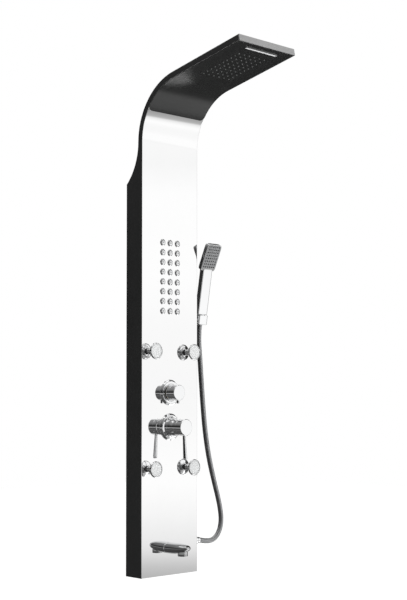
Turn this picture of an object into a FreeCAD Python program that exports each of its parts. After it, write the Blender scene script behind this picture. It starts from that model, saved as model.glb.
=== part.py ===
"""Wall-hung shower panel column.

A flat stainless front bends forward into a rain head.  The front carries two rows of body jets, a
grid of small jets, a diverter, a mixer and a tub spout; a hand shower hangs on the right side wall.
Millimetres, +Z up, the wall is the plane y = 0 and the front faces -Y.  The origin is midway
between the two screw holes of the upper wall bracket.
"""
import FreeCAD, Part
import math
import os
import re
import Sketcher

V = FreeCAD.Vector
X_AXIS, Y_AXIS, Z_AXIS = V(1, 0, 0), V(0, 1, 0), V(0, 0, 1)

# name, value, meaning: the driving dimensions, each written once
SIZES = [
    ("panel_width", 200, "front, left to right"),
    ("panel_depth", 63, "wall to front face"),
    ("column_drop", 950, "upper bracket to the bottom edge"),
    ("bend_start", 204, "upper bracket to where the front starts to bend"),
    ("bend_radius", 150, "front face of the bend"),
    ("bend_angle", 78.8, "turn from the upright front to the head, degrees"),
    ("head_length", 249, "straight part of the head"),
    ("head_thickness", 16, "head and neck, front to back"),
    ("neck_radius", 150, "hollow curve from the deep column to the neck"),
    ("shell_wall", 1.5, "casing sheet"),
    ("return_width", 12, "casing flanges turned in at front and back"),
    ("fascia_sheet", 1.2, "polished front sheet"),
    ("plate_sheet", 1.0, "black plate under the head"),
    ("plate_start", 32, "where the plate starts on the bend, degrees"),
    ("plate_corner", 14, "rounded lower corners of the plate"),
    ("film", 0.3, "glue line between sheets"),
    ("cap_sheet", 3, "lip at the end of the head"),
    ("cap_skirt", 8, "skirt of the lip inside the head"),
    ("fit", 0.1, "gap between fixed pieces that fit in each other"),
    ("running", 0.05, "radial gap of pieces that turn in each other"),
    ("nozzle_columns", 6, "rain nozzles across"),
    ("nozzle_rows", 10, "rain nozzles along the head"),
    ("nozzle_pitch_x", 18.2, "between columns"),
    ("nozzle_pitch_y", 14.6, "between rows"),
    ("nozzle_first", 60, "bend to the first row"),
    ("nozzle_base", 2.0, "nozzle radius at the mat"),
    ("nozzle_tip", 1.4, "nozzle radius at the tip"),
    ("nozzle_reach", 1.4, "nozzle beyond the plate"),
    ("chamber_margin", 5.5, "outer nozzle to the chamber's outside"),
    ("chamber_wall", 2, "rain chamber wall"),
    ("chamber_gap", 1, "chamber to the casing above it"),
    ("slot_length", 97, "waterfall slot"),
    ("slot_width", 2, "waterfall slot"),
    ("slot_centre", 224, "bend to the slot's middle"),
    ("slot_rim", 2.5, "chrome lip round the slot"),
    ("slot_slant", 1.8, "outer edge of the lip beyond its inner edge"),
    ("screw_x", 55, "head screws, centre to side"),
    ("screw_near", 59, "head screws, bend to the near pair"),
    ("screw_far", 236, "head screws, bend to the far pair"),
    ("screw_radius", 1.5, "shank of a head screw"),
    ("screw_head", 3.2, "head of a head screw"),
    ("mini_columns", 3, "small jets across"),
    ("mini_rows", 8, "small jets up"),
    ("mini_pitch", 26.3, "between small jets"),
    ("mini_top", 60, "upper bracket down to the top row"),
    ("mini_radius", 9.2, "small jet rim"),
    ("mini_tail", 5.5, "small jet tail"),
    ("mini_rise", 3.2, "small jet dome"),
    ("mini_bore", 2.4, "small jet bore"),
    ("manifold_depth", 14, "water box behind the small jets"),
    ("tail_depth", 2.5, "front face to the water box"),
    ("jet_x", 68.5, "body jets, centre to side"),
    ("jet_upper", 353, "upper bracket down to the upper jets"),
    ("jet_lower", 665, "upper bracket down to the lower jets"),
    ("jet_head_radius", 22, "body jet head"),
    ("jet_reach", 25, "body jet head, front face to its rim"),
    ("ball_radius", 8, "ball of a body jet"),
    ("ball_centre", 13, "front face to the ball's centre"),
    ("jet_shank", 7, "threaded shank of a body jet"),
    ("jet_shank_depth", 14, "shank behind the front face"),
    ("jet_bore", 2.5, "water way of a body jet"),
    ("jet_swing", 15, "largest tilt of a body jet, degrees"),
    ("diverter_drop", 463, "upper bracket down to the diverter"),
    ("diverter_plate", 35, "radius of its plate"),
    ("diverter_knob", 21, "radius of its knob"),
    ("diverter_reach", 37.8, "front face to its knob's face"),
    ("mixer_drop", 555, "upper bracket down to the mixer"),
    ("mixer_plate", 36.5, "radius of its plate"),
    ("mixer_knob", 22, "radius of its knob"),
    ("mixer_reach", 65, "front face to its knob's face"),
    ("mixer_pivot", 22, "front face to the centre it tilts about"),
    ("dome_radius", 24, "dome under the mixer knob"),
    ("lever_radius", 4, "rod lever at the knob"),
    ("lever_end", 5.5, "rod lever at its end"),
    ("lever_length", 64, "rod lever beyond the knob"),
    ("lever_lean", 4, "rod lever leaning out, degrees"),
    ("spout_drop", 877, "upper bracket down to the spout"),
    ("spout_reach", 73, "front face to the spout's nose"),
    ("spout_width", 45, "spout at its root"),
    ("spout_height", 28, "spout at its root"),
    ("aerator_radius", 13.5, "aerator"),
    ("aerator_reach", 51, "front face to the aerator's axis"),
    ("aerator_foot", 18, "spout axis down to the aerator's mouth"),
    ("cradle_drop", 272, "upper bracket down to the cradle's foot"),
    ("cradle_reach", 39.3, "side wall to the cradle's axis"),
    ("cradle_lean", 10, "cradle and hand shower leaning forward, degrees"),
    ("cradle_width", 34, "cup, left to right"),
    ("cradle_depth", 27, "cup, front to back"),
    ("cradle_height", 26, "cup"),
    ("cone_foot", 10.4, "cup bore at its foot"),
    ("cone_mouth", 11.6, "cup bore at its mouth"),
    ("hose_gap", 15.5, "slot in the cup that the hose passes"),
    ("handle_width", 35, "hand shower handle"),
    ("handle_thickness", 17, "hand shower handle"),
    ("handle_length", 127, "hand shower handle above the cup"),
    ("spray_width", 53, "hand shower head"),
    ("spray_length", 77, "hand shower head"),
    ("spray_thickness", 11, "hand shower head"),
    ("spray_lean", 15, "head leaning further than the handle, degrees"),
    ("hose_radius", 7, "hose outside"),
    ("hose_bore", 5, "hose water way"),
    ("outlet_drop", 870, "upper bracket down to the hose outlet"),
    ("outlet_reach", 16, "side wall to the hose nut"),
    ("hose_nut_length", 21, "nut at the outlet"),
    ("pipe_radius", 5, "pipes inside the column"),
    ("pipe_row", 31.5, "front face to the pipes' axes"),
    ("lower_bracket", 780, "upper bracket down to the lower one"),
    ("bracket_width", 150, "wall bracket"),
    ("bracket_sheet", 2, "wall bracket and rail"),
    ("bracket_screws", 120, "between its two holes"),
    ("bracket_hole", 3, "radius of its holes"),
    ("bracket_lip", 30, "screw holes up to the lip's top"),
    ("inlet_x", 28, "hot and cold inlets, centre to side"),
    ("inlet_radius", 10.48, "outside of the inlet's half-inch thread"),
    ("inlet_length", 14, "inlet thread"),
    ("block_depth", 31, "valve blocks, front to back"),
    ("block_offset", 14, "front face to the valve blocks"),
]
NAMES = {name for name, _, _ in SIZES}

DOC = FreeCAD.newDocument("shower_panel_column")
DIMS = DOC.addObject("Spreadsheet::Sheet", "Dims")
for row, (name, value, meaning) in enumerate(SIZES, 1):
    DIMS.set(f"A{row}", name)
    DIMS.set(f"B{row}", str(value))
    DIMS.set(f"C{row}", meaning)
    DIMS.setAlias(f"B{row}", name)
DOC.recompute()

NODES = []  # every sub-part, in the order made
CUTS = []  # pockets and grooves, whose volume is compared with what they cut


def bound(text):
    """The expression with each named size read from the sheet."""
    return re.sub(r"[a-z][a-z_0-9]*", lambda word: ("Dims." if word[0] in NAMES else "") + word[0], text)


def num(text):
    """The expression's value."""
    return float(DIMS.evalExpression(text))


# ---------------------------------------------------------------- sketches and features

def add_edge(sketch, start, end, bow):
    """A line, or an arc whose centre is on the named side; returns its number and end points."""
    if not bow:
        return sketch.addGeometry(Part.LineSegment(start, end), False), 1, 2
    radius, side = num(bow[0]), bow[1]
    chord = end - start
    normal = V(-chord.y, chord.x, 0).normalize() * (1 if side == "left" else -1)
    centre = (start + end) * 0.5 + normal * math.sqrt(radius ** 2 - (chord.Length / 2) ** 2)
    low, high = (start, end) if side == "left" else (end, start)
    angles = [math.atan2(p.y - centre.y, p.x - centre.x) for p in (low, high)]
    if angles[1] < angles[0]:
        angles[1] += 2 * math.pi
    arc = sketch.addGeometry(Part.ArcOfCircle(Part.Circle(centre, Z_AXIS, radius), *angles), False)
    number = sketch.addConstraint(Sketcher.Constraint("Radius", arc, radius))
    sketch.setExpression(f"Constraints[{number}]", bound(bow[0]))
    return (arc, 1, 2) if side == "left" else (arc, 2, 1)


def pin_point(sketch, edge, point, x, y):
    """Ties a point of an edge to the sketch's origin."""
    for kind, text in (("DistanceX", x), ("DistanceY", y)):
        number = sketch.addConstraint(Sketcher.Constraint(kind, -1, 1, edge, point, num(text)))
        sketch.setExpression(f"Constraints[{number}]", bound(text))


def add_outline(sketch, corners):
    """Closed outline of (x, y) corners; (x, y, radius, side) starts an arc to the next corner."""
    points = [V(num(corner[0]), num(corner[1]), 0) for corner in corners]
    edges = [add_edge(sketch, points[i], points[(i + 1) % len(points)], corner[2:])
             for i, corner in enumerate(corners)]
    for i, (edge, first, last) in enumerate(edges):
        following = edges[(i + 1) % len(edges)]
        sketch.addConstraint(Sketcher.Constraint("Coincident", edge, last, following[0], following[1]))
        pin_point(sketch, edge, first, corners[i][0], corners[i][1])


def add_circle(sketch, x, y, radius):
    circle = sketch.addGeometry(Part.Circle(V(num(x), num(y), 0), Z_AXIS, num(radius)), False)
    number = sketch.addConstraint(Sketcher.Constraint("Radius", circle, num(radius)))
    sketch.setExpression(f"Constraints[{number}]", bound(radius))
    pin_point(sketch, circle, 3, x, y)


def new_sketch(body, plane, loops, frame=None):
    """Sketch on an origin plane, or in a frame (y, z, turn about X) where x is X and z points out."""
    sketch = body.newObject("Sketcher::SketchObject", body.Name + "_sketch")
    support = next(item for item in body.Origin.OriginFeatures if item.Role == plane)
    sketch.AttachmentSupport = [(support, "")]
    sketch.MapMode = "FlatFace"
    if frame:
        put(sketch, "AttachmentOffset", "0", *frame)
    for loop in loops:
        if loop[0] == "circle":
            add_circle(sketch, *loop[1:])
        else:
            add_outline(sketch, loop)
    return sketch


def put(item, prop, x, y, z, turn="0", axis=X_AXIS):
    """Sets a placement and binds its place and its turn to the sheet."""
    setattr(item, prop, FreeCAD.Placement(V(num(x), num(y), num(z)), FreeCAD.Rotation(axis, num(turn) or 1)))
    for part, text in (("Base.x", x), ("Base.y", y), ("Base.z", z), ("Rotation.Angle", turn)):
        item.setExpression(f"{prop}.{part}", bound(text))


def new_body(label):
    body = DOC.addObject("PartDesign::Body", label)
    body.Label = label
    body.AllowCompound = True
    return body


def feature(body, kind, sketch, length=None, both=False):
    """Pad or Pocket of a sketch; both spreads it to both sides of its plane."""
    item = body.newObject("PartDesign::" + kind, f"{body.Name}_{kind.lower()}")
    item.Profile = sketch
    if both:
        item.SideType = "Symmetric"
    item.setExpression("Length", bound(length))
    if kind == "Pocket":
        CUTS.append(item)
    return item


def turn(body, sketch, kind="Revolution"):
    item = body.newObject("PartDesign::" + kind, f"{body.Name}_{kind.lower()}")
    item.Profile = sketch
    item.ReferenceAxis = (sketch, ["V_Axis"])
    item.Angle = 360
    if kind == "Groove":
        CUTS.append(item)
    return item


def repeat(body, items, rows):
    """Linear pattern along one or two of the body's axes: rows are (axis, pitch, count)."""
    pattern = body.newObject("PartDesign::LinearPattern", body.Name + "_pattern")
    pattern.Originals = list(items)
    for suffix, (axis, pitch, count) in zip(("", "2"), rows):
        line = next(o for o in body.Origin.OriginFeatures if o.Role == axis.lstrip("-"))
        setattr(pattern, "Direction" + suffix, (line, [""]))
        setattr(pattern, "Reversed" + suffix, axis.startswith("-"))
        pattern.setExpression("Length" + suffix, bound(f"{pitch} * ({count} - 1)"))
        pattern.setExpression("Occurrences" + suffix, bound(count))
    body.Tip = pattern
    return pattern


def keep(item):
    """Lists an object as a sub-part."""
    NODES.append(item)
    return item


def turned(label, *loops):
    """Body of revolution; loops are (radius, height) outlines."""
    body = new_body(label)
    turn(body, new_sketch(body, "XZ_Plane", loops))
    return body


def on_front(item, x="0", z="0"):
    """Stands an item on the front face: its own z points out of the panel, its own y up."""
    put(item, "Placement", x, "-panel_depth", z, "90")
    return keep(item)


FRONT = ("-panel_depth", "0", "90")


# ---------------------------------------------------------------- lines of the side view

def bend_point(offset, angle="bend_angle"):
    """Point of the bend at an angle, a sheet offset behind the front face."""
    return (f"-panel_depth - bend_radius + (bend_radius + {offset}) * cos({angle})",
            f"bend_start + (bend_radius + {offset}) * sin({angle})")


def head_point(offset, along):
    """Point of the head, a distance beyond the bend."""
    y, z = bend_point(offset)
    return f"{y} - ({along}) * sin(bend_angle)", f"{z} + ({along}) * cos(bend_angle)"


HEAD = (*bend_point("0"), "90 + bend_angle")
CAP_LINE = "head_length - cap_sheet"


def strip(near, far, foot, end):
    """Side view of a sheet that follows the front from a height to a distance along the head."""
    return [(f"-panel_depth + {near}", foot),
            (f"-panel_depth + {near}", "bend_start", f"bend_radius + {near}", "left"),
            bend_point(near), head_point(near, end), head_point(far, end),
            (*bend_point(far), f"bend_radius + {far}", "right"),
            (f"-panel_depth + {far}", "bend_start"),
            (f"-panel_depth + {far}", foot)]


def neck_drop(inset):
    """From the start of the bend down to where the hollow neck curve meets the back."""
    return (f"sqrt((neck_radius + {inset}) ^ 2"
            f" - (neck_radius - panel_depth + head_thickness + {inset}) ^ 2)")


def casing_outline(front, inset, foot, end):
    """Side view of the whole casing, its front line and its back line set in."""
    back = f"head_thickness - {inset}"
    return [(f"-panel_depth + {front}", foot),
            (f"-panel_depth + {front}", "bend_start", f"bend_radius + {front}", "left"),
            bend_point(front), head_point(front, end), head_point(back, end),
            (*bend_point(back), f"bend_radius + {back}", "right"),
            (f"-panel_depth + {back}", "bend_start", f"neck_radius + {inset}", "left"),
            (f"-{inset}", f"bend_start - {neck_drop(inset)}"),
            (f"-{inset}", foot)]


# ---------------------------------------------------------------- casing and sheets

def housing_shell():
    body = new_body("housing_shell")
    front = "(fascia_sheet + film)"
    side = "YZ_Plane"
    feature(body, "Pad", new_sketch(body, side, [casing_outline(front, "0", "-column_drop", CAP_LINE)]),
            "panel_width", both=True)
    hollow = casing_outline("(fascia_sheet + film + shell_wall)", "shell_wall",
                            "-column_drop + shell_wall", "head_length")
    feature(body, "Pocket", new_sketch(body, side, [hollow]), "panel_width - 2 * shell_wall", both=True)
    inner = "panel_width - 2 * return_width"
    mouth = strip("0", "(fascia_sheet + film + 2 * shell_wall)", "-column_drop + return_width", "head_length")
    feature(body, "Pocket", new_sketch(body, side, [mouth]), inner, both=True)
    back = [("-2 * shell_wall", "-column_drop + return_width"), ("1", "-column_drop + return_width"),
            ("1", f"bend_start - {neck_drop('0')} - return_width"),
            ("-2 * shell_wall", f"bend_start - {neck_drop('0')} - return_width")]
    feature(body, "Pocket", new_sketch(body, side, [back]), inner, both=True)
    outlet = new_sketch(body, side, [("circle", "-panel_depth / 2", "-outlet_drop", "8 + fit")])
    outlet.setExpression("AttachmentOffset.Base.z", bound("panel_width / 2 + 1"))
    feature(body, "Pocket", outlet, "shell_wall + 2")
    keep(body)


def rectangle(x0, y0, x1, y1):
    return [(x0, y0), (x1, y0), (x1, y1), (x0, y1)]


CHAMBER = ("nozzle_pitch_x * (nozzle_columns - 1) / 2 + chamber_margin",
           "nozzle_first - chamber_margin - 6",
           "nozzle_first + nozzle_pitch_y * (nozzle_rows - 1) + chamber_margin + 6")
SLOT = ("slot_length / 2 + slot_rim", "slot_centre - slot_width / 2 - slot_rim",
        "slot_centre + slot_width / 2 + slot_rim")
SCREWS = [(sign + "screw_x", along) for along in ("screw_near", "screw_far") for sign in ("-", "")]


def grown(box, by):
    """Mirrored rectangle (half width, low, high) with a margin."""
    half, low, high = box
    return rectangle(f"-({half} + {by})", f"{low} - {by}", f"{half} + {by}", f"{high} + {by}")


def front_fascia():
    body = new_body("front_fascia")
    feature(body, "Pad", new_sketch(body, "YZ_Plane", [strip("0", "fascia_sheet", "-column_drop", CAP_LINE)]),
            "panel_width", both=True)
    windows = [grown(CHAMBER, "film"), grown(SLOT, "film")]
    windows += [("circle", x, along, "screw_radius + fit") for x, along in SCREWS]
    feature(body, "Pocket", new_sketch(body, "XY_Plane", windows, HEAD), "2 * fascia_sheet")
    holes = [("circle", sign + "jet_x", drop, "jet_shank + film")
             for sign in ("-", "") for drop in ("-jet_upper", "-jet_lower")]
    holes += [("circle", "0", "-diverter_drop", "13.3"), ("circle", "0", "-mixer_drop", "16.3"),
              ("circle", "0", "-spout_drop", "10.3")]
    feature(body, "Pocket", new_sketch(body, "XY_Plane", holes, FRONT), "2 * fascia_sheet")
    corner = polygon("-mini_pitch * (mini_columns - 1) / 2", "-mini_top", "(mini_tail + film)")
    small = feature(body, "Pocket", new_sketch(body, "XY_Plane", [corner], FRONT), "2 * fascia_sheet")
    repeat(body, [small], [("X_Axis", "mini_pitch", "mini_columns"), ("-Z_Axis", "mini_pitch", "mini_rows")])
    keep(body)


def polygon(x, y, radius, sides=6):
    """Regular outline, near enough round for a small hole or a small piece."""
    angles = [360 // sides * k for k in range(sides)]
    return [(f"{x} + {radius} * cos({angle})", f"{y} + {radius} * sin({angle})") for angle in angles]


def nozzle_grid(body, item):
    return repeat(body, [item], [("X_Axis", "nozzle_pitch_x", "nozzle_columns"),
                                 ("Y_Axis", "nozzle_pitch_y", "nozzle_rows")])


FIRST_NOZZLE = ("-nozzle_pitch_x * (nozzle_columns - 1) / 2", "nozzle_first")


def head_faceplate():
    """Black plate under the head, its lower end running a little way round the bend."""
    body = new_body("head_faceplate")
    near, far = "(-film - plate_sheet)", "(-film)"
    # in the head's own frame: sketch x is the way along the head, sketch y the way out of it
    curve = "bend_angle - plate_start"
    low, high = "film", "film + plate_sheet"
    tail = [(f"-(bend_radius - {h}) * sin({curve})", f"bend_radius - (bend_radius - {h}) * cos({curve})")
            for h in (f"({low})", f"({high})")]
    outline = [("0", low), (CAP_LINE, low), (CAP_LINE, high), ("0", high, f"bend_radius - ({high})", "right"),
               tail[1], (*tail[0], f"bend_radius - ({low})", "left")]
    feature(body, "Pad", new_sketch(body, "YZ_Plane", [outline]), "panel_width", both=True)
    corners = new_sketch(body, "XY_Plane", [corner_offcut("", "right"), corner_offcut("-", "left")],
                         (*tail[0], f"-({curve})"))
    feature(body, "Pocket", corners, "plate_corner", both=True)
    windows = [grown(SLOT, "film")] + [("circle", x, along, "screw_radius + fit") for x, along in SCREWS]
    frame = ("0", "film + plate_sheet + 1", "0")
    feature(body, "Pocket", new_sketch(body, "XY_Plane", windows, frame), "plate_sheet + 2")
    hole = new_sketch(body, "XY_Plane", [polygon(*FIRST_NOZZLE, "(nozzle_base + 0.6)")], frame)
    nozzle_grid(body, feature(body, "Pocket", hole, "plate_sheet + 2"))
    put(body, "Placement", "0", *HEAD)
    keep(body)


def corner_offcut(sign, side):
    """What rounding off one lower corner of the plate takes away."""
    edge, inner = sign + "panel_width / 2", f"{sign}(panel_width / 2 - plate_corner)"
    outer = f"{sign}(panel_width / 2 + 1)"
    return [(outer, "-1"), (outer, "plate_corner"), (edge, "plate_corner", "plate_corner", side), (inner, "0"),
            (inner, "-1")]


def in_head(item, x="0"):
    """Sets an item in the head's frame: own x across, own y along the head, own z down out of it."""
    put(item, "Placement", x, *HEAD)
    return keep(item)


def box_body(label, base, low, high):
    """Body that starts as a mirrored rectangle raised from low to high."""
    body = new_body(label)
    feature(body, "Pad", new_sketch(body, "XY_Plane", [base], ("0", low, "0")), f"{high} - ({low})")
    return body


CHAMBER_ROOF = "-(head_thickness - shell_wall - chamber_gap)"


def rain_chamber():
    """Tray over the nozzles, its open side closed by the nozzle mat."""
    body = box_body("rain_chamber", grown(CHAMBER, "0"), CHAMBER_ROOF, "film")
    inside = new_sketch(body, "XY_Plane", [grown(CHAMBER, "(-chamber_wall)")], ("0", "film", "0"))
    feature(body, "Pocket", inside, f"film - ({CHAMBER_ROOF}) - chamber_wall")
    in_head(body)


def nozzle_mat():
    body = box_body("nozzle_mat", grown(CHAMBER, "(-chamber_wall - fit)"), "film - 2", "film")
    nozzle = body.newObject("PartDesign::AdditiveLoft", "nozzle")
    foot = new_sketch(body, "XY_Plane", [polygon(*FIRST_NOZZLE, "nozzle_base")], ("0", "film", "0"))
    tip = new_sketch(body, "XY_Plane", [polygon(*FIRST_NOZZLE, "nozzle_tip")],
                     ("0", "film + plate_sheet + nozzle_reach", "0"))
    nozzle.Profile = foot
    nozzle.Sections = [tip]
    nozzle_grid(body, nozzle)
    in_head(body)


def waterfall_outlet():
    """Chrome slot with the flat duct that feeds it."""
    roof = f"({CHAMBER_ROOF})"
    duct_end = "jet_x + pipe_radius + 6"
    base = rectangle(f"-({SLOT[0]})", SLOT[1], duct_end, SLOT[2])
    body = box_body("waterfall_outlet", base, roof, "-fascia_sheet - film")
    inner = "film + plate_sheet + 0.6"
    lip = [(SLOT[1], "-fascia_sheet - film"), (SLOT[2], "-fascia_sheet - film"),
           (SLOT[2], f"{inner} + slot_slant"), (SLOT[1], inner)]
    feature(body, "Pad", new_sketch(body, "YZ_Plane", [lip]), f"2 * ({SLOT[0]})", both=True)
    slot = rectangle("-slot_length / 2", "slot_centre - slot_width / 2", "slot_length / 2",
                     "slot_centre + slot_width / 2")
    mouth = new_sketch(body, "XY_Plane", [slot], ("0", f"{inner} + slot_slant", "0"))
    feature(body, "Pocket", mouth, f"{inner} + slot_slant - {roof} - chamber_wall")
    in_head(body)


def head_screws():
    """Four pan-head screws through the plate."""
    body = new_body("head_screws")
    top = "film + plate_sheet"
    shanks = [polygon(x, along, "screw_radius") for x, along in SCREWS]
    feature(body, "Pad", new_sketch(body, "XY_Plane", shanks, ("0", "-fascia_sheet - 1", "0")),
            f"fascia_sheet + 1 + {top}")
    heads = [polygon(x, along, "screw_head", 12) for x, along in SCREWS]
    feature(body, "Pad", new_sketch(body, "XY_Plane", heads, ("0", top, "0")), "0.9")
    in_head(body)


def head_end_cap():
    """Brushed lip that closes the head, with a skirt that fits inside the casing."""
    body = new_body("head_end_cap")
    inside = "panel_width / 2 - shell_wall - fit"
    deck, roof = "fascia_sheet + film + shell_wall + fit", "head_thickness - shell_wall - fit"

    def skirt(inset):
        return rectangle(f"-({inside} - {inset})", f"{deck} + {inset}", f"{inside} - {inset}", f"{roof} - {inset}")

    # sketch y points up through the head, away from its underside
    plate = rectangle("-panel_width / 2", "-film - plate_sheet", "panel_width / 2", "head_thickness")
    frame = ("0", "0", "0")
    feature(body, "Pad", new_sketch(body, "XY_Plane", [plate], frame), "cap_sheet")
    ring = new_sketch(body, "XY_Plane", [skirt("0"), skirt("shell_wall")], ("0", "-cap_skirt", "0"))
    feature(body, "Pad", ring, "cap_skirt")
    y, z = head_point("0", CAP_LINE)
    put(body, "Placement", "0", y, z, "bend_angle")
    keep(body)


# ---------------------------------------------------------------- small jets

def mini_grid(body, *items):
    """Repeats the jet at the upper left over the whole field, in the front's own frame."""
    return repeat(body, items, [("X_Axis", "mini_pitch", "mini_columns"), ("-Y_Axis", "mini_pitch", "mini_rows")])


def mini_jet_bezels():
    """Chrome domes, each with a tail that reaches the water box behind the front."""
    body = new_body("mini_jet_bezels")
    bore = polygon("0", "0", "mini_bore")
    tail = new_sketch(body, "XY_Plane", [polygon("0", "0", "mini_tail"), bore], ("0", "-tail_depth", "0"))
    rim = new_sketch(body, "XY_Plane", [polygon("0", "0", "mini_radius", 12), bore])
    shoulder = new_sketch(body, "XY_Plane", [polygon("0", "0", "(mini_radius - 2.2)", 12), bore], ("0", "1.2", "0"))
    pads = [feature(body, "Pad", tail, "tail_depth"), feature(body, "Pad", rim, "1.2"),
            feature(body, "Pad", shoulder, "mini_rise - 1.2")]
    mini_grid(body, *pads)
    on_front(body, "-mini_pitch * (mini_columns - 1) / 2", "-mini_top")


def mini_jet_nozzles():
    """Soft tips, one in each dome."""
    body = new_body("mini_jet_nozzles")
    core = new_sketch(body, "XY_Plane", [polygon("0", "0", "(mini_bore - fit)")], ("0", "-tail_depth", "0"))
    mini_grid(body, feature(body, "Pad", core, "tail_depth + mini_rise + 0.5"))
    on_front(body, "-mini_pitch * (mini_columns - 1) / 2", "-mini_top")


MANIFOLD = ("mini_pitch * (mini_columns - 1) / 2 + mini_radius",
            "-mini_top - mini_pitch * (mini_rows - 1) - mini_radius", "-mini_top + mini_radius")


def mini_jet_manifold():
    """Moulded water box that feeds the small jets."""
    body = new_body("mini_jet_manifold")
    box = feature(body, "Pad", new_sketch(body, "XY_Plane", [grown(MANIFOLD, "0")],
                                          ("0", "-tail_depth - manifold_depth", "0")), "manifold_depth")
    DOC.recompute()
    upright = [f"Edge{i}" for i, edge in enumerate(box.Shape.Edges, 1)
               if abs(edge.Length - num("manifold_depth")) < 0.01]
    rounding = body.newObject("PartDesign::Fillet", "manifold_corners")
    rounding.Base = (box, upright)
    rounding.setExpression("Radius", bound("mini_radius"))
    on_front(body)


# ---------------------------------------------------------------- body jets

def seat(radius, reach, toward):
    """Point of a ball seat: a radius from the axis, on the rear or front side of the ball."""
    sign = "+" if toward == "front" else "-"
    return radius, f"ball_centre {sign} sqrt(({reach}) ^ 2 - ({radius}) ^ 2)"


SEAT = "ball_radius + running"
SEAT_RIM = "(ball_radius + running) * sin(50)"


def body_jet(number, x, drop):
    """Swivelling jet: a neck on the panel, a ball in it, a head on the ball, a spray face."""
    base = turned(f"body_jet_base_{number}", [
        ("jet_bore", "-jet_shank_depth"), ("jet_shank", "-jet_shank_depth"), ("jet_shank", "0"),
        ("jet_shank + 2.5", "0"), ("jet_shank + 2.5", "1.5"), ("jet_shank", "3"),
        ("ball_radius", "ball_centre - 5.2"), (*seat(SEAT_RIM, SEAT, "rear"), SEAT, "right"),
        seat("jet_bore", SEAT, "rear")])
    ball = turned(f"body_jet_ball_{number}", [
        (*seat("jet_bore", "ball_radius", "rear"), "ball_radius", "left"),
        seat("jet_bore", "ball_radius", "front")])
    back = "ball_centre + 5"
    head = turned(f"body_jet_head_{number}", [
        seat(SEAT_RIM, SEAT, "front"), ("ball_radius + 0.6", back),
        ("jet_head_radius", "jet_reach - 4.6"), ("jet_head_radius", "jet_reach"),
        ("jet_head_radius - 2.2", "jet_reach"), ("jet_head_radius - 2.2", "jet_reach - 2"),
        ("jet_bore", f"ball_centre + {SEAT} + 0.8"),
        (*seat("jet_bore", SEAT, "front"), SEAT, "right")])
    face = turned(f"body_jet_face_{number}", [
        ("0", "jet_reach - 2"), ("jet_head_radius - 2.2 - fit", "jet_reach - 2"),
        ("jet_head_radius - 2.2 - fit", "jet_reach - 0.5"), ("0", "jet_reach - 0.5")])
    for piece in (base, ball, head, face):
        on_front(piece, x, drop)


JETS = [("-jet_x", "-jet_upper"), ("jet_x", "-jet_upper"), ("-jet_x", "-jet_lower"), ("jet_x", "-jet_lower")]


def body_jet_nuts():
    """One hexagon nut behind the front on each body jet."""
    body = new_body("body_jet_nuts")
    loops = []
    for x, drop in JETS:
        loops += [polygon(x, drop, "(jet_shank + 5)"), ("circle", x, drop, "jet_shank + fit")]
    nuts = new_sketch(body, "XY_Plane", loops, ("0", "-fascia_sheet - film - 6", "0"))
    feature(body, "Pad", nuts, "6")
    on_front(body)


# ---------------------------------------------------------------- diverter

def block(label, half_width, half_height, drop):
    """Brass valve block behind the front, flat where the pipes meet it."""
    body = new_body(label)
    low = "-block_offset - block_depth"
    body_sketch = new_sketch(body, "XY_Plane",
                             [rectangle(f"-{half_width}", f"-{half_height}", half_width, half_height)],
                             ("0", low, "0"))
    feature(body, "Pad", body_sketch, "block_depth")
    return body


def diverter():
    valve = block("diverter_valve", "28", "22", "diverter_drop")
    neck = new_sketch(valve, "XZ_Plane", [[
        ("4 + running", "-block_offset - 20"), ("18", "-block_offset - 20"), ("18", "-fascia_sheet - film"),
        ("13", "-fascia_sheet - film"), ("13", "6"), ("4 + running", "6")]])
    turn(valve, neck)
    bore = new_sketch(valve, "XY_Plane", [("circle", "0", "0", "4 + running")], ("0", "6", "0"))
    feature(valve, "Pocket", bore, "block_offset + 26")
    on_front(valve, "0", "-diverter_drop")

    plate = turned("diverter_escutcheon", [
        ("13 + fit", "0"), ("diverter_plate", "0"), ("diverter_plate", "1.8"),
        ("diverter_plate - 7", "5.2"), ("13 + fit", "5.6")])
    on_front(plate, "0", "-diverter_drop")

    spindle = turned("diverter_spindle", [
        ("0", "-block_offset - 18"), ("4", "-block_offset - 18"), ("4", "26"), ("0", "26")])
    on_front(spindle, "0", "-diverter_drop")

    rim = "diverter_knob"
    knob = turned("diverter_knob", [
        ("4 + fit", "8"), ("10", "8"), ("10", "14"), (f"{rim} - 3", "14"), (f"{rim} - 3", "6"), (rim, "6"),
        (rim, "diverter_reach - 1.2"), (f"{rim} - 1.2", "diverter_reach"), ("0", "diverter_reach"), ("0", "26"),
        ("4 + fit", "26")])
    peg = new_sketch(knob, "XZ_Plane", [("circle", "0", "diverter_reach - 5.5", "4")])
    peg.setExpression("AttachmentOffset.Base.z", bound(f"{rim} - 6"))
    feature(knob, "Pad", peg, "14")
    on_front(knob, "0", "-diverter_drop")


# ---------------------------------------------------------------- mixer

def on_dome(reach, radius):
    """Height above the front face of a sphere about the mixer's tilting centre, at a radius."""
    return f"mixer_pivot + sqrt(({reach}) ^ 2 - ({radius}) ^ 2)"


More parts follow.
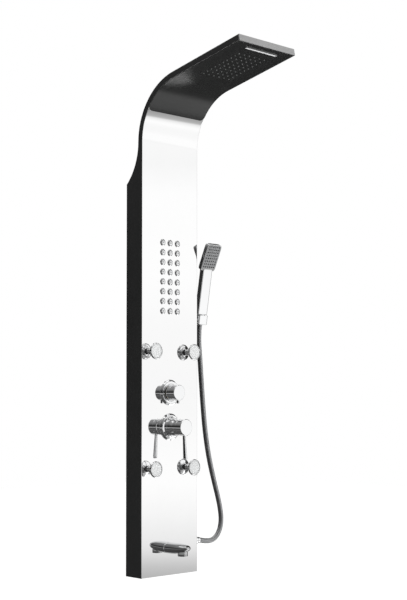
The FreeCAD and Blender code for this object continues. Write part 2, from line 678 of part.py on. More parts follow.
def mixer():
    valve = block("mixer_valve", "40", "20", "mixer_drop")
    neck = new_sketch(valve, "XZ_Plane", [[
        ("0", "-block_offset - 20"), ("19.5", "-block_offset - 20"), ("19.5", "-fascia_sheet - film"),
        ("16", "-fascia_sheet - film"), ("16", "mixer_pivot - 0.5"), ("12 + running", "mixer_pivot - 0.5"),
        ("12 + running", "mixer_pivot - 12.1"), ("0", "mixer_pivot - 12.1")]])
    turn(valve, neck)
    nipples = new_sketch(valve, "XY_Plane", [("circle", sign + "inlet_x", "0", "inlet_radius") for sign in ("-", "")],
                         ("0", "-block_offset - block_depth - inlet_length", "0"))
    feature(valve, "Pad", nipples, "inlet_length")
    on_front(valve, "0", "-mixer_drop")

    plate = turned("mixer_escutcheon", [
        ("17", "0"), ("mixer_plate", "0"), ("mixer_plate", "2"), ("dome_radius + 6.5", "4.5"),
        ("dome_radius + 4", "9"), ("dome_radius + 1", "10"), ("dome_radius + 1", "mixer_pivot - 2"),
        ("dome_radius + running", "mixer_pivot - 2"), ("dome_radius + running", "4"), ("17", "4")])
    on_front(plate, "0", "-mixer_drop")

    cartridge = turned("mixer_cartridge", [
        ("0", "mixer_pivot - 12"), ("12", "mixer_pivot - 12"), ("12", "mixer_pivot - 0.4"),
        ("dome_radius - 2", "mixer_pivot - 0.4"), ("dome_radius - 2", "mixer_pivot + 2"),
        ("6 + running", "mixer_pivot + 2"), ("6 + running", "mixer_pivot", "6 + running", "right"),
        ("0", "mixer_pivot - 6 - running")])
    on_front(cartridge, "0", "-mixer_drop")

    ledge = "(dome_radius - 4)"
    dome = turned("mixer_dome", [
        ("dome_radius - 2 + fit", "mixer_pivot - 6"), ("dome_radius", "mixer_pivot - 6"),
        ("dome_radius", "mixer_pivot", "dome_radius", "left"), ("12.5", on_dome("dome_radius", "12.5")),
        ("12.5", on_dome("dome_radius - 2", "12.5"), "dome_radius - 2", "right"),
        (ledge, on_dome("dome_radius - 2", ledge)), (ledge, "mixer_pivot + 2"),
        ("dome_radius - 2 + fit", "mixer_pivot + 2")])
    on_front(dome, "0", "-mixer_drop")

    stem = turned("mixer_stem", [
        ("0", "mixer_pivot - 6", "6", "left"), ("6", "mixer_pivot", "6", "left"),
        ("4", "mixer_pivot + sqrt(6 ^ 2 - 4 ^ 2)"), ("4", "mixer_reach - 8"), ("0", "mixer_reach - 8")])
    on_front(stem, "0", "-mixer_drop")

    rim = "mixer_knob"
    knob = turned("mixer_knob", [
        (rim, on_dome("dome_radius + 0.5", rim)), (rim, "mixer_reach - 21"), (f"{rim} - 1", "mixer_reach - 20.4"),
        (f"{rim} - 1", "mixer_reach - 19.2"), (rim, "mixer_reach - 18.6"),
        (rim, "mixer_reach - 1.2"), (f"{rim} - 1.2", "mixer_reach"), ("0", "mixer_reach"),
        ("0", "mixer_reach - 8 + fit"), ("4 + fit", "mixer_reach - 8 + fit"),
        ("4 + fit", on_dome("dome_radius + 0.5", "4 + fit"), "dome_radius + 0.5", "right")])
    on_front(knob, "0", "-mixer_drop")

    lever = turned("mixer_lever", [
        ("0", "mixer_knob + 0.3"), ("lever_radius", "mixer_knob + 0.3"),
        ("lever_end", "mixer_knob + lever_length - 1"), ("lever_end - 1", "mixer_knob + lever_length"),
        ("0", "mixer_knob + lever_length")])
    put(lever, "Placement", "0", "-panel_depth - mixer_reach + 10.5", "-mixer_drop", "180 - lever_lean")
    keep(lever)


# ---------------------------------------------------------------- tub spout

SPOUT_SECTIONS = [  # share of the reach, share of the width, share of the height, rise of the middle
    (0, 1, 1, 0), (0.35, 1, 0.97, 0.3), (0.7, 0.93, 0.84, 1.4), (0.9, 0.8, 0.68, 2.6), (1, 0.6, 0.46, 3.6)]


def spout():
    rings = []
    for reach, width, height, rise in SPOUT_SECTIONS:
        ring = DOC.addObject("Part::Ellipse", "spout_ring")
        ring.setExpression("MajorRadius", bound(f"spout_width / 2 * {width}"))
        ring.setExpression("MinorRadius", bound(f"spout_height / 2 * {height}"))
        put(ring, "Placement", "0", f"-panel_depth - spout_reach * {reach}", f"-spout_drop + {rise}", "90")
        rings.append(ring)
    nose = DOC.addObject("Part::Loft", "spout_nose")
    nose.Sections = rings
    nose.Solid = True
    shank = rod("spout_shank", "10", "20", "0", "-panel_depth + 20", "-spout_drop", "90")
    tail = DOC.addObject("Part::Box", "spout_tail")
    tail.setExpression("Length", bound("24"))
    tail.setExpression("Width", bound("16"))
    tail.setExpression("Height", bound("24"))
    put(tail, "Placement", "-12", "-panel_depth + 18", "-spout_drop - 12")
    collar = rod("spout_collar", "aerator_radius", "aerator_foot - 5", "0",
                 "-panel_depth - aerator_reach", "-spout_drop - aerator_foot + 5")
    solid = DOC.addObject("Part::MultiFuse", "spout_solid")
    solid.Shapes = [nose, shank, tail, collar]
    bore = rod("aerator_bore", "aerator_radius - 2", "aerator_foot - 4", "0",
               "-panel_depth - aerator_reach", "-spout_drop - aerator_foot + 4")
    body = DOC.addObject("Part::Cut", "spout_body")
    body.Base, body.Tool = solid, bore
    body.Label = "spout_body"
    keep(body)

    aerator = turned("spout_aerator", [
        ("0", "3"), ("aerator_radius - 3.5", "3"), ("aerator_radius - 3.5", "0"), ("aerator_radius - 0.6", "0"),
        ("aerator_radius", "0.6"), ("aerator_radius", "5"), ("aerator_radius - 2 - fit", "5"),
        ("aerator_radius - 2 - fit", "12"), ("0", "12")])
    put(aerator, "Placement", "0", "-panel_depth - aerator_reach", "-spout_drop - aerator_foot")
    keep(aerator)

    nut = new_body("spout_nut")
    loops = [polygon("0", "0", "16"), ("circle", "0", "0", "10 + fit")]
    feature(nut, "Pad", new_sketch(nut, "XY_Plane", loops, ("0", "-fascia_sheet - film - 7", "0")), "7")
    on_front(nut, "0", "-spout_drop")


def rod(label, radius, height, x, y, z, turn_angle="0", axis=X_AXIS):
    """Plain cylinder, from its foot along its own z."""
    item = DOC.addObject("Part::Cylinder", label)
    item.setExpression("Radius", bound(radius))
    item.setExpression("Height", bound(height))
    put(item, "Placement", x, y, z, turn_angle, axis)
    return item


# ---------------------------------------------------------------- hand shower

CRADLE = ("panel_width / 2 + cradle_reach", "-panel_depth / 2", "-cradle_drop")


def in_cradle(item):
    """Sets an item in the cradle's leaning frame, whose z runs up the hand shower."""
    put(item, "Placement", *CRADLE, "cradle_lean")
    return keep(item)


def handset_holder():
    """Cup with a tapered bore and a slot for the hose, on an arm from the side wall."""
    body = new_body("handset_holder")
    half = "cradle_width / 2"
    cup = feature(body, "Pad", new_sketch(body, "XY_Plane", [
        rectangle(f"-{half}", "-cradle_depth / 2", half, "cradle_depth / 2")]), "cradle_height")
    DOC.recompute()
    upright = [f"Edge{i}" for i, edge in enumerate(cup.Shape.Edges, 1)
               if abs(edge.Length - num("cradle_height")) < 0.01 and edge.CenterOfMass.z > 1]
    upright = [name for name in upright if abs(cup.Shape.getElement(name).tangentAt(0).z) > 0.9]
    rounding = body.newObject("PartDesign::Fillet", "cup_corners")
    rounding.Base = (cup, upright)
    rounding.Radius = 4
    arm = new_sketch(body, "YZ_Plane", [("circle", "0", "cradle_height / 2", "8")])
    arm.setExpression("AttachmentOffset.Base.z", bound("-cradle_reach"))
    feature(body, "Pad", arm, f"cradle_reach - {half} + 1.5")
    rose = new_sketch(body, "YZ_Plane", [("circle", "0", "cradle_height / 2", "14")])
    rose.setExpression("AttachmentOffset.Base.z", bound("-cradle_reach"))
    feature(body, "Pad", rose, "4")
    cone = new_sketch(body, "XZ_Plane", [[
        ("0", "-1"), ("cone_foot", "-1"), ("cone_foot", "0"), ("cone_mouth", "cradle_height"),
        ("cone_mouth", "cradle_height + 1"), ("0", "cradle_height + 1")]])
    turn(body, cone, "Groove")
    gap = new_sketch(body, "XY_Plane", [
        rectangle("0", "-hose_gap / 2", "cradle_width", "hose_gap / 2")], ("0", "cradle_height", "0"))
    feature(body, "Pocket", gap, "cradle_height")
    in_cradle(body)


def handset():
    spigot_foot = "12"
    in_cradle(turned("hose_cone_nut", [
        ("4.5", "-1"), ("cone_foot - 1", "-1"), ("cone_foot - fit", "0"), ("cone_mouth - fit", "cradle_height"),
        ("cone_mouth - fit", "cradle_height + 1"), ("9 + fit", "cradle_height + 1"),
        ("9 + fit", spigot_foot), ("4.5", spigot_foot)]))

    handle = new_body("handset_handle")
    foot = "cradle_height + 1"
    bar = feature(handle, "Pad", new_sketch(handle, "XY_Plane", [
        rectangle("-handle_width / 2", "-handle_thickness / 2", "handle_width / 2", "handle_thickness / 2")],
        ("0", foot, "0")), "handle_length")
    round_long_edges(handle, bar, "handle_length", "2.5")
    put(handle, "Placement", *CRADLE, "cradle_lean")
    spigot = DOC.addObject("Part::Cylinder", "handset_spigot")
    spigot.setExpression("Radius", bound("9"))
    spigot.setExpression("Height", bound(f"{foot} - {spigot_foot}"))
    along = f"({spigot_foot} + fit)"
    put(spigot, "Placement", CRADLE[0], f"{CRADLE[1]} - {along} * sin(cradle_lean)",
        f"{CRADLE[2]} + {along} * cos(cradle_lean)", "cradle_lean")

    head = new_body("handset_spray")
    slab = feature(head, "Pad", new_sketch(head, "XY_Plane", [
        rectangle("-spray_width / 2", "-spray_thickness / 2", "spray_width / 2", "spray_thickness / 2")]),
        "spray_length")
    round_long_edges(head, slab, "spray_length", "2")
    recess = new_sketch(head, "XZ_Plane", [spray_window("1.5")])
    recess.setExpression("AttachmentOffset.Base.z", bound("spray_thickness / 2 - 1.5"))
    feature(head, "Pocket", recess, "3").Reversed = True
    put(head, "Placement", *SPRAY_FRAME)

    body = DOC.addObject("Part::MultiFuse", "handset_body")
    body.Shapes = [handle, spigot, head]
    body.Label = "handset_body"
    keep(body)

    face = new_body("handset_face")
    plate = new_sketch(face, "XZ_Plane", [spray_window("1.5 + fit")])
    plate.setExpression("AttachmentOffset.Base.z", bound("spray_thickness / 2 - 1.5"))
    feature(face, "Pad", plate, "1.7")
    nub = new_sketch(face, "XZ_Plane", [polygon("-18.5", "11.5", "1.3")])
    nub.setExpression("AttachmentOffset.Base.z", bound("spray_thickness / 2"))
    repeat(face, [feature(face, "Pad", nub, "0.9")], [("X_Axis", "7.4", "6"), ("Z_Axis", "8.4", "8")])
    put(face, "Placement", *SPRAY_FRAME)
    keep(face)


NECK = "(cradle_height + 1 + handle_length - 3)"
SPRAY_FRAME = (CRADLE[0], f"{CRADLE[1]} - {NECK} * sin(cradle_lean)", f"{CRADLE[2]} + {NECK} * cos(cradle_lean)",
               "cradle_lean + spray_lean")


def spray_window(inset):
    """Rectangle inside the hand shower's front, an inset from its edges."""
    return rectangle(f"-spray_width / 2 + {inset}", f"6 + {inset}", f"spray_width / 2 - ({inset})",
                     f"spray_length - ({inset})")


def round_long_edges(body, base, length, radius):
    """Fillets the edges of a bar that run its whole length."""
    DOC.recompute()
    names = [f"Edge{i}" for i, edge in enumerate(base.Shape.Edges, 1)
             if abs(edge.Length - num(length)) < 0.01]
    item = body.newObject("PartDesign::Fillet", body.Name + "_edges")
    item.Base = (base, names)
    item.setExpression("Radius", bound(radius))


# ---------------------------------------------------------------- hose and its outlet

def on_side(item):
    """Turns an item's z to point out of the right side wall at the hose outlet."""
    put(item, "Placement", "panel_width / 2", "-panel_depth / 2", "-outlet_drop", "90", Y_AXIS)
    return keep(item)


def hose_outlet():
    on_side(turned("hose_outlet", [
        ("4", "-10"), ("8", "-10"), ("8", "0"), ("13", "0"), ("13", "2"), ("11", "4"), ("9.5", "4"),
        ("9.5", "outlet_reach"), ("4", "outlet_reach")]))
    end = "outlet_reach + hose_nut_length"
    on_side(turned("hose_nut", [
        ("hose_bore", "outlet_reach"), ("11", "outlet_reach"), ("11", f"{end} - 6"), ("hose_radius + 2", end),
        ("hose_bore", end)]))


# the hose from the hand shower's cone nut to the nut at the outlet, points chosen by hand
HOSE_ROUTE = [
    (139.3, -31.32635, -272.98481), (139.3, -25.7696, -304.4987), (146.2, -25, -366), (152, -25, -436),
    (158.5, -25, -506), (166.5, -25, -574), (180.5, -25, -645), (201, -25, -712), (221.5, -25.5, -772),
    (228, -27.5, -817), (212, -30, -851), (180, -31.5, -870), (137, -31.5, -870)]


def route_path(points, bends):
    """Straight runs joined by arcs tangent to them, one bend radius to each inner point."""
    edges, start = [], points[0]
    for before, corner, after, radius in zip(points, points[1:], points[2:], bends):
        back, on = (before - corner).normalize(), (after - corner).normalize()
        half_turn = (math.pi - back.getAngle(on)) / 2
        cut = radius * math.tan(half_turn)
        middle = corner + (back + on).normalize() * (radius / math.cos(half_turn) - radius)
        first, last = corner + back * cut, corner + on * cut
        if (first - start).Length > 1e-6:
            edges.append(Part.LineSegment(start, first).toShape())
        edges.append(Part.Arc(first, middle, last).toShape())
        start = last
    edges.append(Part.LineSegment(start, points[-1]).toShape())
    return Part.Wire(edges)


def largest_bends(points):
    """For each inner point, the radius that uses nine tenths of the half of its shorter run."""
    radii = []
    for before, corner, after in zip(points, points[1:], points[2:]):
        back, on = before - corner, after - corner
        half_turn = (math.pi - back.getAngle(on)) / 2
        radii.append(0.45 * min(back.Length, on.Length) / math.tan(half_turn))
    return radii


def swept(path, radius):
    """Round bar along a path; its volume is compared with its section times its length."""
    start, way = path.Edges[0].Vertexes[0].Point, path.Edges[0].tangentAt(path.Edges[0].FirstParameter)
    solid = path.makePipeShell([Part.Wire(Part.makeCircle(radius, start, way))], True, False)
    expected = math.pi * radius ** 2 * path.Length
    if abs(solid.Volume - expected) > 0.01 * expected:
        raise RuntimeError(f"bar volume {solid.Volume:.0f}, expected {expected:.0f}")
    return solid


def plain_feature(label, shape):
    item = DOC.addObject("Part::Feature", label)
    item.Shape = shape
    item.Label = label
    return keep(item)


def shower_hose():
    points = [V(*point) for point in HOSE_ROUTE]
    radii = largest_bends(points)
    path = route_path(points, radii)
    print("hose length", round(path.Length, 1), "bend radii", [round(radius) for radius in radii])
    plain_feature("shower_hose", swept(path, num("hose_radius")))


# ---------------------------------------------------------------- pipes inside the column

def corner_point(corner):
    return V(*(num(part) for part in corner))


def pipe(label, corners, bends):
    """Water pipe through corner points given as expressions, one bend radius to each inner corner."""
    path = route_path([corner_point(corner) for corner in corners], bends)
    plain_feature(label, swept(path, num("pipe_radius")))


ROW = "-panel_depth + pipe_row"
BLOCK_TOP, BLOCK_SIDE = "-diverter_drop + 22", "28"
PORTS = "15"  # between the diverter's side ports


def riser(label, start, x, end):
    """Pipe from the diverter up the column, through the neck, round the bend and along the head."""
    neck = "-panel_depth + head_thickness / 2"
    big_bend = "bend_radius + head_thickness / 2"
    corners = start + [(x, ROW, "bend_start - 110"), (x, neck, "bend_start - 20"),
                       (x, neck, f"bend_start + ({big_bend}) * tan(bend_angle / 2)"),
                       (x, *head_point("head_thickness / 2", end))]
    pipe(label, corners, [20] * (len(start) - 1) + [60, 60, num(big_bend)])


def jet_pipe(label, sign):
    """Straight feed of the two jets on one side, with an arm to each jet and one to the diverter."""
    x, shank = sign + "jet_x", "-panel_depth + jet_shank_depth"
    stub = "(pipe_radius + 2)"
    run = corner_point((x, ROW, f"-jet_lower - {stub}")), corner_point((x, ROW, f"-jet_upper + {stub}"))
    arms = [(corner_point((x, ROW, drop)), corner_point((x, shank, drop))) for drop in ("-jet_upper", "-jet_lower")]
    arms.append((corner_point((x, ROW, "-diverter_drop")), corner_point((sign + BLOCK_SIDE, ROW, "-diverter_drop"))))
    bars = [Part.makeCylinder(num("pipe_radius"), (end - start).Length, start, end - start)
            for start, end in [run] + arms]
    plain_feature(label, bars[0].multiFuse(bars[1:]).removeSplitter())


def pipes():
    pipe("pipe_mixed", [("0", ROW, "-mixer_drop + 20"), ("0", ROW, "-diverter_drop - 22")], [])
    riser("pipe_rain", [("-18", ROW, BLOCK_TOP)], "-18", CHAMBER[1])
    beside = f"{CHAMBER[0]} + pipe_radius + 1.5"
    port = f"-diverter_drop + {PORTS}"
    riser("pipe_waterfall", [(BLOCK_SIDE, ROW, port), (beside, ROW, port)], beside, SLOT[1])
    top = "-mini_top - mini_pitch"
    pipe("pipe_mini_jets", [("0", ROW, BLOCK_TOP), ("0", ROW, top),
                            ("0", "-panel_depth + tail_depth + manifold_depth", top)], [9])
    jet_pipe("jet_pipe_left", "-")
    jet_pipe("jet_pipe_right", "")
    port, side = f"-diverter_drop - {PORTS}", "jet_x - 3 * pipe_radius"
    pipe("pipe_spout", [(f"-{BLOCK_SIDE}", ROW, port), (f"-({side})", ROW, port),
                        (f"-({side})", ROW, "-spout_drop"), ("-12", ROW, "-spout_drop")], [14, 14])
    pipe("pipe_handset", [(BLOCK_SIDE, ROW, port), (side, ROW, port), (side, ROW, "-outlet_drop"),
                          ("panel_width / 2 - 10", ROW, "-outlet_drop")], [14, 14])


# ---------------------------------------------------------------- wall brackets

def wall_bracket(label, drop):
    """Strip screwed to the wall, its top edge cranked forward and up into a hook."""
    body = new_body(label)
    profile = [("0", "-17"), ("0", "14"), ("-8", "14"), ("-8", "bracket_lip"), ("-8 - bracket_sheet", "bracket_lip"),
               ("-8 - bracket_sheet", "14 - bracket_sheet"), ("-bracket_sheet", "14 - bracket_sheet"),
               ("-bracket_sheet", "-17")]
    feature(body, "Pad", new_sketch(body, "YZ_Plane", [profile]), "bracket_width", both=True)
    holes = [("circle", sign + "bracket_screws / 2", "0", "bracket_hole") for sign in ("-", "")]
    sketch = new_sketch(body, "XZ_Plane", holes)
    feature(body, "Pocket", sketch, "4 * bracket_sheet", both=True)
    put(body, "Placement", "0", "0", drop)
    keep(body)


def hanger_rails():
    """Two rails across the casing that hook over the wall brackets."""
    body = new_body("hanger_rails")
    web, sheet = "bracket_lip", "bracket_sheet"
    profile = [("-4.3", f"{web} + {sheet}"), ("-22", f"{web} + {sheet}"), ("-22", "6"), (f"-22 + {sheet}", "6"),
               (f"-22 + {sheet}", web), (f"-4.3 - {sheet}", web), (f"-4.3 - {sheet}", f"{web} - 10"),
               ("-4.3", f"{web} - 10")]
    rail = feature(body, "Pad", new_sketch(body, "YZ_Plane", [profile]), "panel_width - 2 * shell_wall", both=True)
    repeat(body, [rail], [("-Z_Axis", "lower_bracket", "2")])
    keep(body)


# ---------------------------------------------------------------- build, check, write

def build():
    housing_shell()
    front_fascia()
    head_faceplate()
    rain_chamber()
    nozzle_mat()
    waterfall_outlet()
    head_screws()
    head_end_cap()
    mini_jet_bezels()
    mini_jet_nozzles()
    mini_jet_manifold()
    for number, (x, drop) in enumerate(JETS, 1):
        body_jet(number, x, drop)
    body_jet_nuts()
    diverter()
    mixer()
    spout()
    handset_holder()
    handset()
    hose_outlet()
    shower_hose()
    pipes()
    wall_bracket("wall_bracket_upper", "0")
    wall_bracket("wall_bracket_lower", "-lower_bracket")
    hanger_rails()


def check():
    """Stops on a failed object, an empty cut or a bad solid."""
    DOC.recompute()
    for item in DOC.Objects:
        if {"Invalid", "Error"} & set(item.State):
            raise RuntimeError(f"{item.Name} failed: {item.State}")
    for cut in CUTS:
        if cut.BaseFeature.Shape.Volume - cut.Shape.Volume < 0.5:
            raise RuntimeError(f"{cut.Name} cuts nothing")
    for item in NODES:
        if item.Shape.isNull() or not item.Shape.isValid() or not item.Shape.Solids:
            raise RuntimeError(f"{item.Label} has no valid solid")


def write():
    os.makedirs("parts", exist_ok=True)
    for item in NODES:
        item.Shape.exportStep(f"parts/{item.Label}.step")
    print(len(NODES), "nodes,", sum(len(item.Shape.Solids) for item in NODES), "solids")


build()
check()
write()
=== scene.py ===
"""Shower panel column: camera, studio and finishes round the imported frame.

Metres; the wall is the plane y = 0, the polished front is the plane y = -0.063 and faces -Y.
"""
import math

import bmesh
import bpy
import numpy as np
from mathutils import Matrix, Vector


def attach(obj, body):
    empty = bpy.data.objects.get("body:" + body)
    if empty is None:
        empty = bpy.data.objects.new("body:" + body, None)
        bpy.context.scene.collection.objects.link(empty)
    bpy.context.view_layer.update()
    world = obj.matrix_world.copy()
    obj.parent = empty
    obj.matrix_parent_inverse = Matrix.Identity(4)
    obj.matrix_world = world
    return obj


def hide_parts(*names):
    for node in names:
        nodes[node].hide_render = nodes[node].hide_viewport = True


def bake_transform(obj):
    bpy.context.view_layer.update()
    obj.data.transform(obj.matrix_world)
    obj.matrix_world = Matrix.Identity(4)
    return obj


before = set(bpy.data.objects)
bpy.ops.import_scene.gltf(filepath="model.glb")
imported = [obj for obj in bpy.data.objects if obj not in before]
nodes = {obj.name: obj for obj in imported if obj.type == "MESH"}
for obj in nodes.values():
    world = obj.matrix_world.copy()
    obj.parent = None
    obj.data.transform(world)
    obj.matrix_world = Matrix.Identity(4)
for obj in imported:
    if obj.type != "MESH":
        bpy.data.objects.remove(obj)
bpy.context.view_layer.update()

# ---------------------------------------------------------------- camera
# A long lens a little above the mixer's height; it stands left of the panel and looks past it.
# It is tilted up by only two degrees and a small shift does the rest, so the edges stay nearly upright.
PHOTO_HEIGHT = 600
SENSOR_HEIGHT = 24
FOCAL_PIXELS = 1241.0
SHIFT_RIGHT_PIXELS, SHIFT_UP_PIXELS = -0.7, 45.2
BEARING, TILT = math.radians(46.45), math.radians(2.17)
camera = bpy.data.objects.new("camera", bpy.data.cameras.new("camera"))
bpy.context.scene.collection.objects.link(camera)
camera.data.sensor_fit = "VERTICAL"
camera.data.sensor_height = SENSOR_HEIGHT
camera.data.lens = FOCAL_PIXELS * SENSOR_HEIGHT / PHOTO_HEIGHT
camera.data.shift_x = SHIFT_RIGHT_PIXELS / PHOTO_HEIGHT
camera.data.shift_y = SHIFT_UP_PIXELS / PHOTO_HEIGHT
camera.data.clip_end = 60
camera.location = (-2.2326, -2.5451, -0.4618)
camera.rotation_euler = (math.pi / 2 + TILT, 0, BEARING - math.pi / 2)
bpy.context.scene.camera = camera
bpy.context.scene.view_settings.view_transform = "Standard"

# ---------------------------------------------------------------- studio
# White tent: pale floor well below the hung column, white surround, two soft lamps.
# Dark screens stand round the column, but for a pale window at its front right and a narrow one in front;
# felt lies below it. Only metal sees them, and they draw the outlines of the chrome.
LEVEL = 0.62
FLOOR = -2.2
FLOOR_HALF = 16
FELT = FLOOR + 0.01
COLUMN_MIDDLE = (0, 0, -0.3)


def new_material(name):
    """A material with its tree and its Principled shader."""
    material = bpy.data.materials.new(name)
    material.use_nodes = True
    tree = material.node_tree
    return material, tree, tree.nodes["Principled BSDF"]


def seen_rays(tree, *kinds):
    """Socket that is 1 for the named kinds of ray and 0 for the rest."""
    path = tree.nodes.new("ShaderNodeLightPath")
    socket = path.outputs[kinds[0]]
    for kind in kinds[1:]:
        either = tree.nodes.new("ShaderNodeMath")
        either.operation = "MAXIMUM"
        tree.links.new(socket, either.inputs[0])
        tree.links.new(path.outputs[kind], either.inputs[1])
        socket = either.outputs[0]
    return socket


def surround():
    """White for camera, mirrors and glass, the studio's level for the light on the object."""
    world = bpy.data.worlds.new("studio")
    bpy.context.scene.world = world
    world.use_nodes = True
    tree = world.node_tree
    tree.nodes.clear()
    strength = tree.nodes.new("ShaderNodeMapRange")
    strength.inputs["To Min"].default_value = LEVEL
    strength.inputs["To Max"].default_value = 1.0
    seen = seen_rays(tree, "Is Camera Ray", "Is Glossy Ray", "Is Transmission Ray")
    tree.links.new(seen, strength.inputs["Value"])
    background = tree.nodes.new("ShaderNodeBackground")
    background.inputs["Color"].default_value = (1, 1, 1, 1)
    tree.links.new(strength.outputs[0], background.inputs["Strength"])
    output = tree.nodes.new("ShaderNodeOutputWorld")
    tree.links.new(background.outputs[0], output.inputs["Surface"])


def lamp(name, place, size, power):
    """Round soft lamp aimed at the column's middle; the chrome doesn't show it."""
    light = bpy.data.objects.new(name, bpy.data.lights.new(name, "AREA"))
    bpy.context.scene.collection.objects.link(light)
    light.data.shape = "DISK"
    light.data.size = size
    light.data.energy = power
    light.location = place
    light.rotation_euler = Vector(np.subtract(COLUMN_MIDDLE, place)).to_track_quat("-Z", "Y").to_euler()
    light.visible_glossy = False


def stage_mesh(name, points, faces, material):
    """Flat piece of the studio with its material."""
    mesh = bpy.data.meshes.new(name)
    mesh.from_pydata(points, [], faces)
    mesh.materials.append(material)
    item = bpy.data.objects.new(name, mesh)
    bpy.context.scene.collection.objects.link(item)
    return item


def floor_white():
    """Matt white; camera and mirrors see it glow by what the studio's level leaves under white."""
    material, tree, shader = new_material("floor_white")
    shader.inputs["Base Color"].default_value = (0.9, 0.9, 0.9, 1)
    shader.inputs["Roughness"].default_value = 0.9
    glow = tree.nodes.new("ShaderNodeEmission")
    glow.inputs["Color"].default_value = (0.5, 0.5, 0.5, 1)
    tree.links.new(seen_rays(tree, "Is Camera Ray", "Is Glossy Ray"), glow.inputs["Strength"])
    both = tree.nodes.new("ShaderNodeAddShader")
    tree.links.new(shader.outputs[0], both.inputs[0])
    tree.links.new(glow.outputs[0], both.inputs[1])
    tree.links.new(both.outputs[0], tree.nodes["Material Output"].inputs["Surface"])
    return material


def card(name, points, faces, stops, along="height"):
    """Card that only reflections see.

    Its grey follows stops of (metres, grey), by height or by radius from the column.
    """
    material, tree, shader = new_material(name)
    tree.nodes.remove(shader)
    place = tree.nodes.new("ShaderNodeTexCoord")
    if along == "height":
        split = tree.nodes.new("ShaderNodeSeparateXYZ")
        tree.links.new(place.outputs["Object"], split.inputs[0])
        metres = split.outputs["Z"]
    else:
        level = tree.nodes.new("ShaderNodeVectorMath")
        level.operation = "MULTIPLY"
        level.inputs[1].default_value = (1, 1, 0)
        tree.links.new(place.outputs["Object"], level.inputs[0])
        length = tree.nodes.new("ShaderNodeVectorMath")
        length.operation = "LENGTH"
        tree.links.new(level.outputs["Vector"], length.inputs[0])
        metres = length.outputs["Value"]
    first, last = stops[0][0], stops[-1][0]
    share = tree.nodes.new("ShaderNodeMapRange")
    share.inputs["From Min"].default_value = first
    share.inputs["From Max"].default_value = last
    tree.links.new(metres, share.inputs["Value"])
    grey = tree.nodes.new("ShaderNodeValToRGB")
    tree.links.new(share.outputs[0], grey.inputs["Fac"])
    ramp = grey.color_ramp.elements
    for position, value in stops[1:-1]:
        ramp.new((position - first) / (last - first)).color = (value, value, value, 1)
    ramp[0].color = (*[stops[0][1]] * 3, 1)
    ramp[len(stops) - 1].color = (*[stops[-1][1]] * 3, 1)
    glow = tree.nodes.new("ShaderNodeEmission")
    tree.links.new(grey.outputs["Color"], glow.inputs["Color"])
    tree.links.new(glow.outputs[0], tree.nodes["Material Output"].inputs["Surface"])
    item = stage_mesh(name, points, faces, material)
    item.visible_camera = item.visible_diffuse = item.visible_shadow = False
    item.visible_transmission = item.visible_volume_scatter = False


def screen(name, first, last, low, high, stops, radius=4.2):
    """Upright card bent round the column between two bearings, in degrees from +X towards the wall."""
    strips = 32
    turn = np.radians(np.linspace(first, last, strips + 1))
    ring = radius * np.stack([np.cos(turn), np.sin(turn)], 1)
    points = [(*place, level) for level in (low, high) for place in ring]
    card(name, points, [(k, k + 1, k + strips + 2, k + strips + 1) for k in range(strips)], stops)


surround()
lamp("key", (2.4, -3.2, 1.6), 2.2, 60)
lamp("fill", (-3.0, -1.6, 1.4), 2.4, 30)
stage_mesh("floor", [(-FLOOR_HALF, -FLOOR_HALF, FLOOR), (FLOOR_HALF, -FLOOR_HALF, FLOOR),
                     (FLOOR_HALF, FLOOR_HALF, FLOOR), (-FLOOR_HALF, FLOOR_HALF, FLOOR)], [(0, 1, 2, 3)],
           floor_white())
screen("black_left", -75, -232, FLOOR, 5.5,
       [(-2.2, 0.05), (-1.75, 0.06), (-1.32, 0.12), (-1.16, 0.36), (-0.84, 0.36), (-0.66, 0.08),
        (-0.45, 0.015), (-0.1, 0.015), (0.4, 0.04), (1.0, 0.11), (2.0, 0.2), (5.5, 0.35)])
screen("side_window", -87, -95.5, -2.0, 0.9, [(-2, 0.85), (2, 0.85)], radius=4.1)
screen("over_window", -16, -75, 1.3, 5.5,
       [(1.3, 0.10), (1.6, 0.14), (1.9, 0.45), (2.2, 0.6), (3.1, 0.6), (3.6, 0.15), (5.5, 0.10)])
screen("black_back", 128, 58, FLOOR, 3.0, [(-2, 0.015), (6, 0.015)])
screen("low_back", 58, 40, FLOOR, -0.52, [(-2, 0.11), (6, 0.11)])
screen("black_right", 40, -16, FLOOR, 7.0, [(-2, 0.03), (6, 0.03)])
card("window", [(0.86, -3.43, FLOOR), (3.62, -1.176, FLOOR), (3.62, -1.176, 1.3), (0.86, -3.43, 1.3)],
     [(0, 1, 2, 3)],
     [(-2.2, 0.14), (-2.03, 0.24), (-1.84, 0.35), (-1.60, 0.40), (-1.43, 0.46), (-1.37, 0.56), (-1.31, 0.71),
      (-1.27, 0.80), (-1.22, 0.85), (-1.10, 0.93), (-1.02, 0.97), (-0.93, 1.0), (-0.80, 0.99), (-0.60, 0.96),
      (-0.44, 0.95), (-0.14, 0.96), (0.05, 0.985), (0.15, 1.0), (0.58, 1.0), (0.74, 0.94), (0.85, 0.955),
      (1.3, 0.98)])
card("felt", [(-4.2, -4.2, FELT), (-4.2, 4.2, FELT), (4.2, 4.2, FELT), (4.2, 0.08, FELT), (0.4, 0.0, FELT),
              (1.1, -4.2, FELT)], [(0, 1, 2, 3, 4, 5)],
     [(0, 0.06), (2.5, 0.08), (3, 0.11), (6, 0.11)], along="radius")
card("grey_felt", [(0.4, -0.02, FELT), (1.1, -4.2, FELT), (3.2, -4.2, FELT)], [(0, 1, 2)],
     [(0, 0.45), (6, 0.45)], along="radius")

